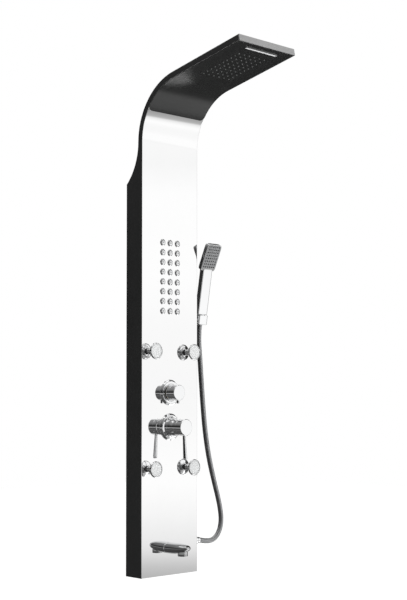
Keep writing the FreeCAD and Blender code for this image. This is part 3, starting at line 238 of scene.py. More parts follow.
# ---------------------------------------------------------------- hose
# Chromed steel strip wound into a hose of 14 mm, 0.68 m from the hand shower to the outlet.
# It hangs from the cradle and swings up into the side of the column, where a nut clamps it on its fitting.
HOSE_ROUTE = [
    (0.1393, -0.03132635, -0.27298481), (0.1393, -0.0257696, -0.3044987), (0.1462, -0.025, -0.366),
    (0.152, -0.025, -0.436), (0.1585, -0.025, -0.506), (0.1665, -0.025, -0.574), (0.1805, -0.025, -0.645),
    (0.201, -0.025, -0.712), (0.2215, -0.0255, -0.774), (0.2285, -0.0275, -0.824), (0.213, -0.03, -0.862),
    (0.178, -0.0315, -0.880), (0.137, -0.0315, -0.870)]
HOSE_RADIUS = 0.007
HOSE_PITCH = 0.0042
HOSE_DIP = 0.0006
HOSE_STEPS, HOSE_SIDES = 1300, 24
SIDE_PORT = (0.1, -0.0315, -0.870)
RIGHT = (1, 0, 0)


def smooth_line(route):
    """Points of the NURBS spline of order 3 that has the route's points as its control points."""
    curve = bpy.data.curves.new("line", "CURVE")
    curve.dimensions = "3D"
    spline = curve.splines.new("NURBS")
    spline.points.add(len(route) - 1)
    for point, place in zip(spline.points, route):
        point.co = (*place, 1)
    spline.use_endpoint_u = True
    spline.order_u = 3
    spline.resolution_u = 40
    holder = bpy.data.objects.new("line", curve)
    bpy.context.scene.collection.objects.link(holder)
    mesh = bpy.data.meshes.new_from_object(holder)
    points = np.array([vertex.co for vertex in mesh.vertices])
    bpy.data.objects.remove(holder)
    return points


def even_steps(points, count):
    """The line's places at equal steps of length, by linear interpolation along its length."""
    run = np.concatenate([[0], np.cumsum(np.linalg.norm(np.diff(points, axis=0), axis=1))])
    steps = np.linspace(0, run[-1], count)
    return np.stack([np.interp(steps, run, points[:, k]) for k in range(3)], 1), steps


def skin(name, grids, body, replaced=(), smooth=True):
    """Surfaces through grids of points (rows, columns, 3), each closed from its last column to its first.

    Doubled points at poles and seams are merged, then the normals are turned outwards.
    """
    points, faces, start = [], [], 0
    for grid in grids:
        rows, columns = grid.shape[:2]
        corner = start + np.arange(rows * columns).reshape(rows, columns)
        along = np.roll(corner, -1, axis=1)
        faces.append(np.stack([corner[:-1], along[:-1], along[1:], corner[1:]], -1).reshape(-1, 4))
        points.append(grid.reshape(-1, 3))
        start += rows * columns
    mesh = bpy.data.meshes.new(name)
    mesh.from_pydata(np.concatenate(points).tolist(), [], np.concatenate(faces).tolist())
    work = bmesh.new()
    work.from_mesh(mesh)
    bmesh.ops.remove_doubles(work, verts=work.verts, dist=1e-6)
    bmesh.ops.dissolve_degenerate(work, edges=work.edges, dist=1e-7)
    bmesh.ops.recalc_face_normals(work, faces=work.faces)
    work.to_mesh(mesh)
    work.free()
    if smooth:
        mesh.shade_smooth()
    else:
        mesh.shade_flat()
    item = bpy.data.objects.new(name, mesh)
    bpy.context.scene.collection.objects.link(item)
    if body:
        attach(item, body)
    if replaced:
        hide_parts(*replaced)
    return item


def eased(outline, radius):
    """Outline with each inner corner rounded by a parabola, and a support point beyond each end of it.

    A parabola reaches the radius along each of its two runs, or 0.4 of a shorter run.
    """
    points = np.array(outline, float)
    before, corner, after = points[:-2], points[1:-1], points[2:]
    back, on = before - corner, after - corner
    reach_back = np.minimum(radius / np.linalg.norm(back, axis=1), 0.4)[:, None]
    reach_on = np.minimum(radius / np.linalg.norm(on, axis=1), 0.4)[:, None]
    first, last = corner + back * reach_back, corner + on * reach_on
    step = np.linspace(0, 1, 5)[None, :, None]
    curve = (first[:, None] * (1 - step) ** 2 + 2 * corner[:, None] * step * (1 - step)
             + last[:, None] * step ** 2)
    near = corner + back * reach_back * 1.2
    far = corner + on * reach_on * 1.2
    rows = np.concatenate([near[:, None], curve, far[:, None]], 1).reshape(-1, 2)
    return np.concatenate([points[:1], rows, points[-1:]])


def lathe(outline, origin, out, segments=72, ease=0.5):
    """Grid of an outline of (radius, height) in millimetres turned about the line from origin along out."""
    rows = (eased(outline, ease) if ease else np.array(outline, float)) / 1000
    out = np.array(out, float) / np.linalg.norm(out)
    side = np.cross(out, [1, 0, 0]) if abs(out[0]) < 0.9 else np.cross(out, [0, 0, 1])
    side /= np.linalg.norm(side)
    other = np.cross(out, side)
    angle = np.linspace(0, 2 * np.pi, segments, endpoint=False)
    ring = np.cos(angle)[:, None] * side + np.sin(angle)[:, None] * other
    return np.array(origin) + rows[:, None, 1:] * out + rows[:, None, :1] * ring[None]


nut = skin("outlet_nut", [lathe(
    [(7, 16), (11, 16), (11, 25), (10.2, 26.5), (8.4, 28), (8.1, 35.6), (7.5, 37), (7, 37), (7, 16)],
    SIDE_PORT, RIGHT)], "column", ["hose_nut"])


def hose():
    """Round tube whose radius dips once a turn along a helix: r = R - dip * (1 - |sin| to the power 0.7)."""
    line, steps = even_steps(smooth_line(HOSE_ROUTE), HOSE_STEPS)
    tangent = np.gradient(line, axis=0)
    tangent /= np.linalg.norm(tangent, axis=1, keepdims=True)
    side = np.cross(tangent, [0, 1, 0])
    side /= np.linalg.norm(side, axis=1, keepdims=True)
    other = np.cross(side, tangent)
    angle = np.linspace(0, 2 * np.pi, HOSE_SIDES, endpoint=False)
    phase = steps[:, None] / HOSE_PITCH - angle[None] / (2 * np.pi)
    dip = HOSE_DIP * (1 - np.abs(np.sin(np.pi * phase)) ** 0.7)
    radius = (HOSE_RADIUS - dip)[..., None]
    ring = side[:, None] * np.cos(angle)[None, :, None] + other[:, None] * np.sin(angle)[None, :, None]
    tube = skin("hose_tube", [line[:, None] + radius * ring], None, ["shower_hose"])
    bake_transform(tube)
    return tube


GROUPS = {}


def surface_grain():
    """Node group on Object coordinates: blotches of a few centimetres and fine grain.

    Roughness = level + blotch share; Tint runs from 0 to 1 with the blotches; Height is the grain.
    """
    if "grain" in GROUPS:
        return GROUPS["grain"]
    group = bpy.data.node_groups.new("surface_grain", "ShaderNodeTree")
    for name, kind, value in (("Roughness", "NodeSocketFloat", 0.1), ("Blotch", "NodeSocketFloat", 0.05),
                              ("Scale", "NodeSocketFloat", 900.0),
                              ("Stretch", "NodeSocketVector", (1, 1, 1))):
        socket = group.interface.new_socket(name, in_out="INPUT", socket_type=kind)
        socket.default_value = value
    for name in ("Roughness", "Tint", "Height"):
        group.interface.new_socket(name, in_out="OUTPUT", socket_type="NodeSocketFloat")
    inside, outside = group.nodes.new("NodeGroupInput"), group.nodes.new("NodeGroupOutput")
    place = group.nodes.new("ShaderNodeTexCoord")
    blotch = group.nodes.new("ShaderNodeTexNoise")
    blotch.inputs["Scale"].default_value = 22
    blotch.inputs["Detail"].default_value = 5
    group.links.new(place.outputs["Object"], blotch.inputs["Vector"])
    group.links.new(blotch.outputs["Fac"], outside.inputs["Tint"])
    offset = group.nodes.new("ShaderNodeMath")
    offset.operation = "SUBTRACT"
    offset.inputs[1].default_value = 0.5
    group.links.new(blotch.outputs["Fac"], offset.inputs[0])
    rough = group.nodes.new("ShaderNodeMath")
    rough.operation = "MULTIPLY_ADD"
    rough.use_clamp = True
    group.links.new(offset.outputs[0], rough.inputs[0])
    group.links.new(inside.outputs["Blotch"], rough.inputs[1])
    group.links.new(inside.outputs["Roughness"], rough.inputs[2])
    group.links.new(rough.outputs[0], outside.inputs["Roughness"])
    stretched = group.nodes.new("ShaderNodeVectorMath")
    stretched.operation = "MULTIPLY"
    group.links.new(place.outputs["Object"], stretched.inputs[0])
    group.links.new(inside.outputs["Stretch"], stretched.inputs[1])
    grain = group.nodes.new("ShaderNodeTexNoise")
    grain.inputs["Detail"].default_value = 3
    group.links.new(stretched.outputs[0], grain.inputs["Vector"])
    group.links.new(inside.outputs["Scale"], grain.inputs["Scale"])
    group.links.new(grain.outputs["Fac"], outside.inputs["Height"])
    GROUPS["grain"] = group
    return group


def finish(name, dark, light, roughness, metallic=0.0, blotch=0.03, scale=900.0, stretch=(1, 1, 1),
           bump=0.05, specular=0.5, depth=0.0002):
    """Material between two colours, with the shared grain in colour, roughness and bump."""
    material, tree, shader = new_material(name)
    shader.inputs["Metallic"].default_value = metallic
    shader.inputs["Specular IOR Level"].default_value = specular
    grain = tree.nodes.new("ShaderNodeGroup")
    grain.node_tree = surface_grain()
    for socket, value in (("Roughness", roughness), ("Blotch", blotch), ("Scale", scale),
                          ("Stretch", stretch)):
        grain.inputs[socket].default_value = value
    mix = tree.nodes.new("ShaderNodeMix")
    mix.data_type = "RGBA"
    mix.inputs["A"].default_value = (*dark, 1)
    mix.inputs["B"].default_value = (*light, 1)
    tree.links.new(grain.outputs["Tint"], mix.inputs["Factor"])
    tree.links.new(mix.outputs["Result"], shader.inputs["Base Color"])
    tree.links.new(grain.outputs["Roughness"], shader.inputs["Roughness"])
    if bump:
        relief = tree.nodes.new("ShaderNodeBump")
        relief.inputs["Strength"].default_value = bump
        relief.inputs["Distance"].default_value = depth
        tree.links.new(grain.outputs["Height"], relief.inputs["Height"])
        tree.links.new(relief.outputs["Normal"], shader.inputs["Normal"])
    return material


def paint(material, *items):
    """Gives a material to pieces or to CAD nodes by name."""
    for item in items:
        item = nodes[item] if isinstance(item, str) else item
        item.data.materials.clear()
        item.data.materials.append(material)


paint(finish("wound_steel", (0.39, 0.395, 0.40), (0.53, 0.535, 0.54), 0.34, 1.0, blotch=0.1), hose())

# ---------------------------------------------------------------- casing
# Body of the column: side walls, neck, top of the head and rear flanges.
# Folded from steel sheet and welded at the corners; its near-black satin colour is painted shade, a dark
# reflection painted in where the polished sides would mirror dark surroundings.
# Near-black colour: painted shade, standing in for the dark reflected in the polished sides.
paint(finish("satin_black_painted_shade", (0.014, 0.0142, 0.0142), (0.019, 0.0192, 0.0192), 0.44, blotch=0.08,
             scale=1400, bump=0.25), "housing_shell")

# ---------------------------------------------------------------- polished front
# One stainless sheet, mirror-polished, from the bottom edge up round the bend under the head.
# The faint haze of the last polishing runs down the sheet.
FRONT = -0.063
FOOT_LEVEL = -0.950
SHEET_HALF, SHEET_THICKNESS = 0.1, 0.0012
EDGE_WIDTH, EDGE_FALL = 0.0016, 0.0005
BEND_START, BEND_RADIUS, BEND_ANGLE, HEAD_LENGTH = 0.204, 0.150, math.radians(78.8), 0.246
BEND_CENTRE = FRONT - BEND_RADIUS
HEAD_ALONG = np.array([0, -math.sin(BEND_ANGLE), math.cos(BEND_ANGLE)])
HEAD_OUT = np.array([0, -math.cos(BEND_ANGLE), -math.sin(BEND_ANGLE)])
HEAD_FOOT = np.array([0, BEND_CENTRE + BEND_RADIUS * math.cos(BEND_ANGLE),
                      BEND_START + BEND_RADIUS * math.sin(BEND_ANGLE)])


def front_line():
    """Front edge of the sheet from foot to lip with its outward direction: straight, arc, straight."""
    rise = np.array([FOOT_LEVEL, FOOT_LEVEL + 0.0003, FOOT_LEVEL + 0.001, -0.7, -0.4, -0.1,
                     BEND_START - 0.001])
    straight = np.stack([0 * rise, 0 * rise + FRONT, rise], 1)
    turn = np.linspace(0, BEND_ANGLE, 80)
    arc = np.stack([0 * turn, BEND_CENTRE + BEND_RADIUS * np.cos(turn),
                    BEND_START + BEND_RADIUS * np.sin(turn)], 1)
    length = np.array([0.001, 0.1, HEAD_LENGTH - 0.001, HEAD_LENGTH - 0.0003, HEAD_LENGTH])
    last = arc[-1] + length[:, None] * HEAD_ALONG
    facing = np.concatenate([np.tile([0.0, -1, 0], (len(rise), 1)),
                             np.stack([0 * turn, -np.cos(turn), -np.sin(turn)], 1),
                             np.tile(HEAD_OUT, (len(length), 1))])
    return np.concatenate([straight, arc, last]), facing


def front_sheet():
    """Flat strip section carried along the front line; each edge falls by a quarter ellipse."""
    line, facing = front_line()
    turn = np.linspace(0, math.pi / 2, 5)
    corner = np.stack([EDGE_WIDTH * np.sin(turn), EDGE_FALL * np.cos(turn)], 1)
    front_right = np.array([SHEET_HALF - EDGE_WIDTH, -EDGE_FALL]) + corner
    back_right = (front_right * [1, -1] - [0, SHEET_THICKNESS])[::-1]
    inner = SHEET_HALF - 0.004
    side = np.concatenate([[[inner, 0]], front_right, back_right, [[inner, -SHEET_THICKNESS]]])
    loop = np.concatenate([side, (side * [-1, 1])[::-1]])
    grid = line[:, None] + loop[None, :, :1] * np.array([1, 0, 0]) + loop[None, :, 1:] * facing[:, None]
    closing = [np.broadcast_to(grid[end].mean(0) * [0, 1, 1], grid[end].shape)
               + loop[:, :1] * np.array([1, 0, 0]) for end in (0, -1)]
    return np.concatenate([closing[0][None], grid, closing[1][None]])


sheet = skin("front_sheet", [front_sheet()], "column", ["front_fascia"])
paint(finish("mirror_steel", (0.975, 0.975, 0.975), (0.995, 0.995, 0.995), 0.03, 1.0, blotch=0.02,
             stretch=(1, 1, 0.02), bump=0.0), sheet)

# ---------------------------------------------------------------- plate under the head, black as painted shade
# Thin sheet over the polished front, from the lip back to the bend, its lower corners rounded; its
# near-black colour is painted shade, standing in for the dark underside of the polished head.
# It is glued on, and the rain nozzles come through its holes.
# Near-black colour: painted shade in place of the shade and dark reflection under the head.
paint(finish("black_plate_painted_shade", (0.021, 0.0217, 0.0213), (0.027, 0.0277, 0.027), 0.24, blotch=0.04, scale=1800,
             bump=0.02, specular=0.36), "head_faceplate")

# ---------------------------------------------------------------- lip of the head
# Strip that closes the front end of the head.
# Drawn steel, brushed along its length and pressed into the end of the casing.
paint(finish("brushed_steel", (0.66, 0.66, 0.66), (0.78, 0.78, 0.78), 0.34, 1.0, blotch=0.06, scale=700,
             stretch=(0.03, 1, 1), bump=0.35), "head_end_cap")

# ---------------------------------------------------------------- rain nozzles, waterfall lip, head screws
# Six by ten soft nozzles come through the plate from the mat behind it; their tips catch the light.
# The waterfall lip is one chrome moulding with a slanting face; the screws have blackened pan heads.
paint(finish("pale_silicone", (0.20, 0.205, 0.205), (0.28, 0.285, 0.285), 0.5, blotch=0.1, scale=2500),
      "nozzle_mat")
CHROME = finish("polished_chrome", (0.945, 0.95, 0.955), (0.975, 0.98, 0.985), 0.03, 1.0, blotch=0.02,
                scale=60, bump=0.02, depth=0.001)
LIP_HALF, LIP_END, GROOVE_HALF = 56, 0.8, 48.5
DUCT_MIDDLE, DUCT_HALF = np.array([14.25, 224]), np.array([65.25, 3.5])


def waterfall_lip():
    """Section of (distance along the head, height) in millimetres, carried across the head.

    Each end shrinks the section towards its middle by 0.45 (1 - cos t); the groove stops short of the ends.
    """
    section = np.array([(220.9, -1.5), (227.1, -1.5), (227.5, -1.1), (227.5, 3.1), (227.2, 3.55),
                        (226.8, 3.6), (224.6, 3.0), (224.5, 2.4), (223.6, 2.2), (223.5, 2.75),
                        (221.1, 2.05), (220.7, 1.9), (220.5, 1.5), (220.5, -1.1)])
    closed = section + np.array([[0, 0]] * 7 + [[0, 0.55]] * 2 + [[0, 0]] * 5)
    turn = np.linspace(0, math.pi / 2, 6)
    across = np.concatenate([LIP_END * (1 - np.sin(turn[::-1])) - LIP_HALF,
                             [-50, -48.6, -48.4, 0, 48.4, 48.6, 50],
                             LIP_HALF - LIP_END * (1 - np.sin(turn))])
    inset = np.concatenate([1 - np.cos(turn[::-1]), np.zeros(7), 1 - np.cos(turn)])[:, None, None] * 0.45
    shape = np.where(np.abs(across)[:, None, None] < GROOVE_HALF, section, closed)
    middle = section.mean(0)
    shape = shape + (middle - shape) * inset
    shape = np.concatenate([0 * shape[:1] + middle, shape, 0 * shape[:1] + middle]) / 1000
    across = np.concatenate([across[:1], across, across[-1:]])[:, None, None] / 1000
    return (HEAD_FOOT + across * np.array([1, 0, 0]) + shape[..., :1] * HEAD_ALONG
            + shape[..., 1:] * HEAD_OUT)


def duct():
    """Flat box behind the lip, its outline a superellipse |x/a|^12 + |y/b|^12 = 1."""
    angle = np.linspace(0, 2 * np.pi, 48, endpoint=False)
    circle = np.stack([np.cos(angle), np.sin(angle)], -1)
    loop = DUCT_MIDDLE + DUCT_HALF * np.sign(circle) * np.abs(circle) ** (1 / 6)
    middle = np.broadcast_to(DUCT_MIDDLE, loop.shape)
    loop = np.stack([middle, loop, loop, middle]) / 1000
    height = np.array([-0.0136, -0.0136, -0.0016, -0.0016])[:, None, None]
    return (HEAD_FOOT + loop[..., :1] * np.array([1, 0, 0]) + loop[..., 1:] * HEAD_ALONG
            + height * HEAD_OUT)


lip = skin("waterfall_lip", [waterfall_lip(), duct()], "column", ["waterfall_outlet"],
           smooth=False)
paint(CHROME, lip)
paint(finish("dark_screw", (0.30, 0.30, 0.30), (0.36, 0.36, 0.36), 0.3, 1.0), "head_screws")

# ---------------------------------------------------------------- small massage jets
# Three by eight jets on the front: pressed chrome domes, each round a soft silicone tip.
# Their tails go through the sheet into the water box behind it.
OUT = (0, -1, 0)
MINI_TOP, MINI_PITCH = -0.060, 0.0263
MINI_PLACES = [(column * MINI_PITCH, FRONT, MINI_TOP - MINI_PITCH * row)
               for row in range(8) for column in (-1, 0, 1)]
domes = skin("mini_jet_domes", [lathe(
    [(5.0, 0.05), (9.2, 0.05), (9.2, 0.5), (8.6, 1.15), (7.6, 1.85), (6.4, 2.5), (5.0, 3.05), (3.4, 3.45),
     (2.4, 3.55), (2.2, 3.3), (2.2, 1.0), (5.0, 0.05)], place, OUT, 36) for place in MINI_PLACES],
    "column", ["mini_jet_bezels"])
tips = skin("mini_jet_tips", [lathe(
    [(0, 3.2), (0.5, 3.2), (0.9, 3.9), (1.6, 3.9), (2.15, 3.2), (2.15, 1.2), (0, 1.2)], place, OUT, 18, 0.25)
    for place in MINI_PLACES], "column", ["mini_jet_nozzles"])
paint(CHROME, domes)
paint(finish("grey_silicone", (0.34, 0.345, 0.35), (0.44, 0.445, 0.45), 0.5, scale=2500), tips)

# ---------------------------------------------------------------- body jets
# Four swivelling jets: a chromed brass neck, held by a nut behind the front, with a black ball in it.
# The ball turns and carries a chrome head with a pale moulded spray face.
JETS = [(-0.0685, -0.353), (0.0685, -0.353), (-0.0685, -0.665), (0.0685, -0.665)]
BEAD_RINGS = [(0.0125, 12), (0.006, 6)]
PALE_FACE = finish("pale_spray_face", (0.80, 0.81, 0.81), (0.87, 0.88, 0.88), 0.22, scale=1500)
BLACK_MOULDING = finish("black_moulding", (0.025, 0.025, 0.027), (0.035, 0.035, 0.037), 0.45)
for number, (x, z) in enumerate(JETS, 1):
    place = (x, FRONT, z)
    neck = skin(f"jet_neck_{number}", [lathe(
        [(2.5, -14), (7, -14), (7, 0), (9.5, 0), (9.5, 1.2), (8.9, 1.8), (7.4, 2.6), (7.0, 4), (7.2, 6),
         (7.8, 7.5), (6.2, 7.85), (4.6, 6.4), (2.5, 5.35), (2.5, -14)], place, OUT)],
        "column", [f"body_jet_base_{number}"])
    head = skin(f"jet_head_{number}", [lathe(
        [(2.5, 20.7), (4.6, 19.65), (6.2, 18.2), (7.5, 16.2), (8.3, 15.4), (9.4, 15.5), (11.5, 16.5),
         (14.5, 17.6), (17.5, 18.5), (20, 19.5), (21.5, 20.7), (22, 21.9), (21.8, 22.8), (20.9, 24),
         (19.9, 24.8), (19.2, 25), (18.6, 24.8), (18.3, 24.2), (18.3, 23), (2.5, 23), (2.5, 20.7)],
        place, OUT)], f"jet_head_{number}", [f"body_jet_head_{number}"])
    beads = [lathe([(1.0, 23.9), (0.9, 24.35), (0.5, 24.5), (0, 24.5)],
                   (x + radius * math.cos(turn), FRONT, z + radius * math.sin(turn)), OUT, 10, 0)
             for radius, count in BEAD_RINGS
             for turn in (2 * math.pi * k / count for k in range(count))]
    face = skin(f"jet_face_{number}", [lathe(
        [(0, 23), (18.2, 23), (18.1, 23.5), (17, 23.9), (15.4, 23.9), (15, 23.7), (14.6, 23.9), (8, 24.2),
         (0, 24.3)], place, OUT)] + beads, f"jet_head_{number}", [f"body_jet_face_{number}"])
    paint(CHROME, neck, head)
    paint(PALE_FACE, face)
    paint(BLACK_MOULDING, f"body_jet_ball_{number}")

# ---------------------------------------------------------------- diverter
# Round chromed plate on the front and a turning knob on the diverter's spindle, turned and chromed.
# A short peg in the knob's side shows where it points.
DIVERTER = (0, FRONT, -0.463)
PEG_OUT = 0.0323
diverter_plate = skin("diverter_plate", [lathe(
    [(13.1, 0), (35, 0), (34.9, 0.8), (34.3, 1.7), (31.2, 4.6), (30.2, 5.3), (28.8, 5.6), (24.2, 5.6),
     (23.4, 5.2), (23, 4.2), (13.1, 4.2), (13.1, 0)], DIVERTER, OUT, 96)],
    "column", ["diverter_escutcheon"])
knob = lathe([(0, 26), (4.1, 26), (4.1, 8), (10, 8), (10, 14), (18, 14), (18, 6), (21, 6), (21, 36.4),
              (19.6, 37.8), (8, 37.8), (0, 37.8)], DIVERTER, OUT, 96, 0.7)
peg = lathe([(0, 18.5), (4, 18.5), (4, 28), (3, 29), (0, 29)], DIVERTER + PEG_OUT * np.array(OUT),
            (0, 0, -1), 40, 0.6)
diverter_knob = skin("diverter_handle", [knob, peg], "diverter", ["diverter_knob"])
paint(CHROME, diverter_plate, diverter_knob)

# ---------------------------------------------------------------- mixer
# Turned and chromed: a stepped plate on the front and a dome that turns in its collar.
# A knob tilts on the dome, with a rod lever in its side that hangs down.
MIXER = (0, FRONT, -0.555)
TILT_CENTRE = 22
LEVER_OUT, LEVER_LEAN = 0.0545, math.radians(4)


def dome_arc(radius, start, end, count=14):
    """Outline points of a sphere about the tilting centre, from one angle off the axis to another."""
    angle = np.radians(np.linspace(start, end, count))
    return list(zip(radius * np.sin(angle), TILT_CENTRE + radius * np.cos(angle)))


mixer_plate = skin("mixer_plate", [lathe(
    [(17, 0), (36.5, 0), (36.4, 0.8), (35.8, 1.7), (32.8, 4.5), (31.8, 5.2), (30.6, 5.5), (26.4, 7.3),
     (25.6, 7.9), (25.3, 8.8), (25.2, 13.6), (24.9, 14), (24.1, 14), (24.05, 4), (17, 4), (17, 0)],
    MIXER, OUT, 96)], "column", ["mixer_escutcheon"])
mixer_dome = skin("mixer_dome_shell", [lathe(
    [(22.1, 9), (24, 9), *dome_arc(24, 90, 31.4), *dome_arc(22, 34.6, 65.4), (20, 24), (22.1, 24),
     (22.1, 9)], MIXER, OUT, 96, 0.15)], "mixer_core", ["mixer_dome"])
mixer_knob = skin("mixer_knob_turned", [lathe(
    [(0, 57.1), (4.1, 57.1), *dome_arc(24.5, 9.6, 63.9), (22, 43.6), (21.2, 44.3), (21.2, 46.1), (22, 46.8),
     (22, 63.6), (20.6, 65), (8, 65), (0, 65)], MIXER, OUT, 96, 0.4)],
    "mixer_handle", ["mixer_knob"])
lever = skin("mixer_rod", [lathe(
    [(0, 22.3), (4, 22.3), (4.3, 40), (5.5, 82), (5.4, 84.5), (4.2, 86), (0, 86)],
    MIXER + LEVER_OUT * np.array(OUT), (0, -math.sin(LEVER_LEAN), -math.cos(LEVER_LEAN)), 40, 0.8)],
    "mixer_handle", ["mixer_lever"])
paint(CHROME, mixer_plate, mixer_dome, mixer_knob, lever)

# ---------------------------------------------------------------- tub spout
# Spout for the tub, cast in brass and chromed: a flat oval that narrows to a round nose.
# A nut behind the front holds it, and a collar under its nose holds the aerator.
SPOUT_REACH, SPOUT_DROP = 0.073, -0.877
SPOUT_HALF_WIDTH, SPOUT_HALF_HEIGHT, SPOUT_RISE = 0.0225, 0.0148, 0.0036
COLLAR = (0, FRONT - 0.051, SPOUT_DROP)
DOWN = (0, 0, -1)


def spout_nose():
    """Oval sections along the share s of the reach, each a superellipse of power 2.1.

    Half width falls as (1 - s^4.6)^0.45, half height as (1 - s^3.4)^0.5, and the middle rises with s^2.
    """
    share = np.concatenate([[0, 0], 1 - np.linspace(1, 0, 60) ** 2])
    wide = SPOUT_HALF_WIDTH * (1 - share ** 4.6) ** 0.45
    high = SPOUT_HALF_HEIGHT * (1 - share ** 3.4) ** 0.5
    wide[0] = high[0] = 0
    angle = np.linspace(0, 2 * np.pi, 96, endpoint=False)
    power = 2 / 2.1
    across = np.sign(np.cos(angle)) * np.abs(np.cos(angle)) ** power
    up = np.sign(np.sin(angle)) * np.abs(np.sin(angle)) ** power
    y = np.broadcast_to((FRONT - SPOUT_REACH * share)[:, None], (len(share), 96))
    z = SPOUT_DROP + SPOUT_RISE * share[:, None] ** 2 + high[:, None] * up
    return np.stack([wide[:, None] * across, y, z], -1)


collar = lathe([(0, 4), (13.2, 4), (13.5, 13), (11.5, 13), (11.5, 8), (0, 8)], COLLAR, DOWN, 64, 0.3)
spout = skin("spout_casting", [spout_nose(), collar], "column", ["spout_body"])
aerator = skin("spout_aerator_ring", [lathe(
    [(0, 15.5), (9.6, 15.5), (10, 18), (12.9, 18), (13.5, 17.3), (13.5, 13.1), (11.4, 13.1), (11.4, 8),
     (0, 8)], COLLAR, DOWN, 64, 0.3)], "column", ["spout_aerator"])
# The spout's chrome is darker than the other chrome: painted shade, standing in for the dark surroundings it
# reflects.
paint(finish("chrome_painted_darker_as_shade", (0.56, 0.565, 0.57), (0.64, 0.645, 0.65), 0.06, 1.0, blotch=0.03, scale=200,
             bump=0.03), spout, aerator)

# ---------------------------------------------------------------- hand shower
# Chrome-plated moulding: a flat handle and a square head leaning forward, a grey face with dark nozzles.
# The handle ends in a cone nut that sits in the cradle and takes the hose.
CRADLE = np.array([0.1393, -0.0315, -0.272])
NECK_RISE, SPRAY_HALF = 0.151, 0.0385
NUB_FIRST = (-0.0185, 0.0115)
NUB_ACROSS, NUB_ALONG = 0.0074, 0.0084


def leaning(degrees):
    """Directions up along and out in front of a piece that leans towards the user."""
    turn = math.radians(degrees)
    return np.array([0, -math.sin(turn), math.cos(turn)]), np.array([0, -math.cos(turn), -math.sin(turn)])


def rounded_bar(origin, along, second, stations, power=8, segments=96):
    """Bar lofted through stations of (height, half width, half thickness, middle) in millimetres.

    Each section is a superellipse |x/a|^n + |y/b|^n = 1 across X and the second direction, moved by middle.
    """
    stations = np.array([(*row, 0)[:4] for row in stations], float) / 1000
    angle = np.linspace(0, 2 * np.pi, segments, endpoint=False)
    across = np.sign(np.cos(angle)) * np.abs(np.cos(angle)) ** (2 / power)
    thick = np.sign(np.sin(angle)) * np.abs(np.sin(angle)) ** (2 / power)
    height, wide, half, middle = (stations[:, k, None, None] for k in range(4))
    return (np.array(origin) + height * along + wide * across[None, :, None] * np.array([1, 0, 0])
            + (middle + half * thick[None, :, None]) * second)


def eased_ends(low, high, wide, half, ease):
    """Stations of a bar between two heights whose ends are rounded over by a quarter circle."""
    turn = np.linspace(0, math.pi / 2, 6)
    inset = ease * (1 - np.cos(turn))
    rise = ease * (1 - np.sin(turn))
    top = [(high - r, wide - i, half - i) for r, i in zip(rise, inset)]
    foot = [(low + r, wide - i, half - i) for r, i in zip(rise, inset)][::-1]
    return [(low, 0, 0), *foot, (low + ease * 1.5, wide, half), (high - ease * 1.5, wide, half), *top,
            (high, 0, 0)]


up, out = leaning(10)
handle = rounded_bar(CRADLE, up, out, eased_ends(27, 154, 17.5, 8.5, 2), 6)
spigot = lathe([(0, 12.5), (9, 12.5), (9, 27.5), (0, 27.5)], CRADLE, up, 48, 0.3)
neck = CRADLE + NECK_RISE * up
spray_up, spray_out = leaning(25)
spray_middle = neck + SPRAY_HALF * spray_up
spray = rounded_bar(spray_middle, spray_out, spray_up, [
    (-7, 0, 0), (-7, 24.5, 36.5), (-6.8, 25.5, 37.5), (-6.3, 26.1, 38.1), (-5.3, 26.5, 38.5),
    (-4, 26.5, 38.5), (4.3, 26.5, 38.5), (4.7, 26.5, 38.5), (5.1, 26.4, 38.4), (5.4, 26.1, 38.1),
    (5.5, 25.8, 37.8), (5.5, 25.5, 37.5), (5.5, 23.8, 33.1, 3), (5.5, 23.6, 32.9, 3), (5.3, 23.5, 32.8, 3),
    (4.0, 23.4, 32.7, 3), (4.0, 0, 0, 3)], 9, 128)
handset = skin("handset_shell", [handle, spigot, spray], "handset", ["handset_body"])
paint(CHROME, handset, "hose_cone_nut")
plate = rounded_bar(spray_middle, spray_out, spray_up, [
    (4.1, 0, 0, 3), (4.1, 23.2, 32.5, 3), (5.3, 23.2, 32.5, 3), (5.6, 22.9, 32.2, 3), (5.7, 22.3, 31.6, 3),
    (5.7, 0, 0, 3)], 9, 128)
face = skin("handset_face_plate", [plate], "handset", ["handset_face"])
nubs = [lathe([(0, 5.5), (2.1, 5.5), (1.9, 6.1), (1.3, 6.35), (0, 6.4)],
              neck + (NUB_FIRST[1] + NUB_ALONG * row) * spray_up
              + np.array([NUB_FIRST[0] + NUB_ACROSS * column, 0, 0]), spray_out, 10, 0)
        for row in range(8) for column in range(6)]
rubber = skin("handset_nozzles", nubs, "handset")
paint(finish("grey_spray_face", (0.28, 0.285, 0.29), (0.34, 0.345, 0.35), 0.35, scale=1500), face)
paint(finish("dark_silicone", (0.015, 0.015, 0.016), (0.025, 0.025, 0.026), 0.55, scale=2500), rubber)

# ---------------------------------------------------------------- cradle
# Holder of the hand shower: a chromed brass cup with a tapered bore and a slot for the hose.
# Its arm is fixed through the side wall of the casing.
CUP_POWER = 6
CUP_HEIGHT, CUP_HALF_WIDTH, CUP_HALF_DEPTH, CUP_EASE = 26, 17, 13.5, 0.9
BORE_FOOT, BORE_TAPER, SLOT_HALF = 10.4, 1.2, 7.75
ARM_RISE, ARM_REACH = 0.013, 0.0393


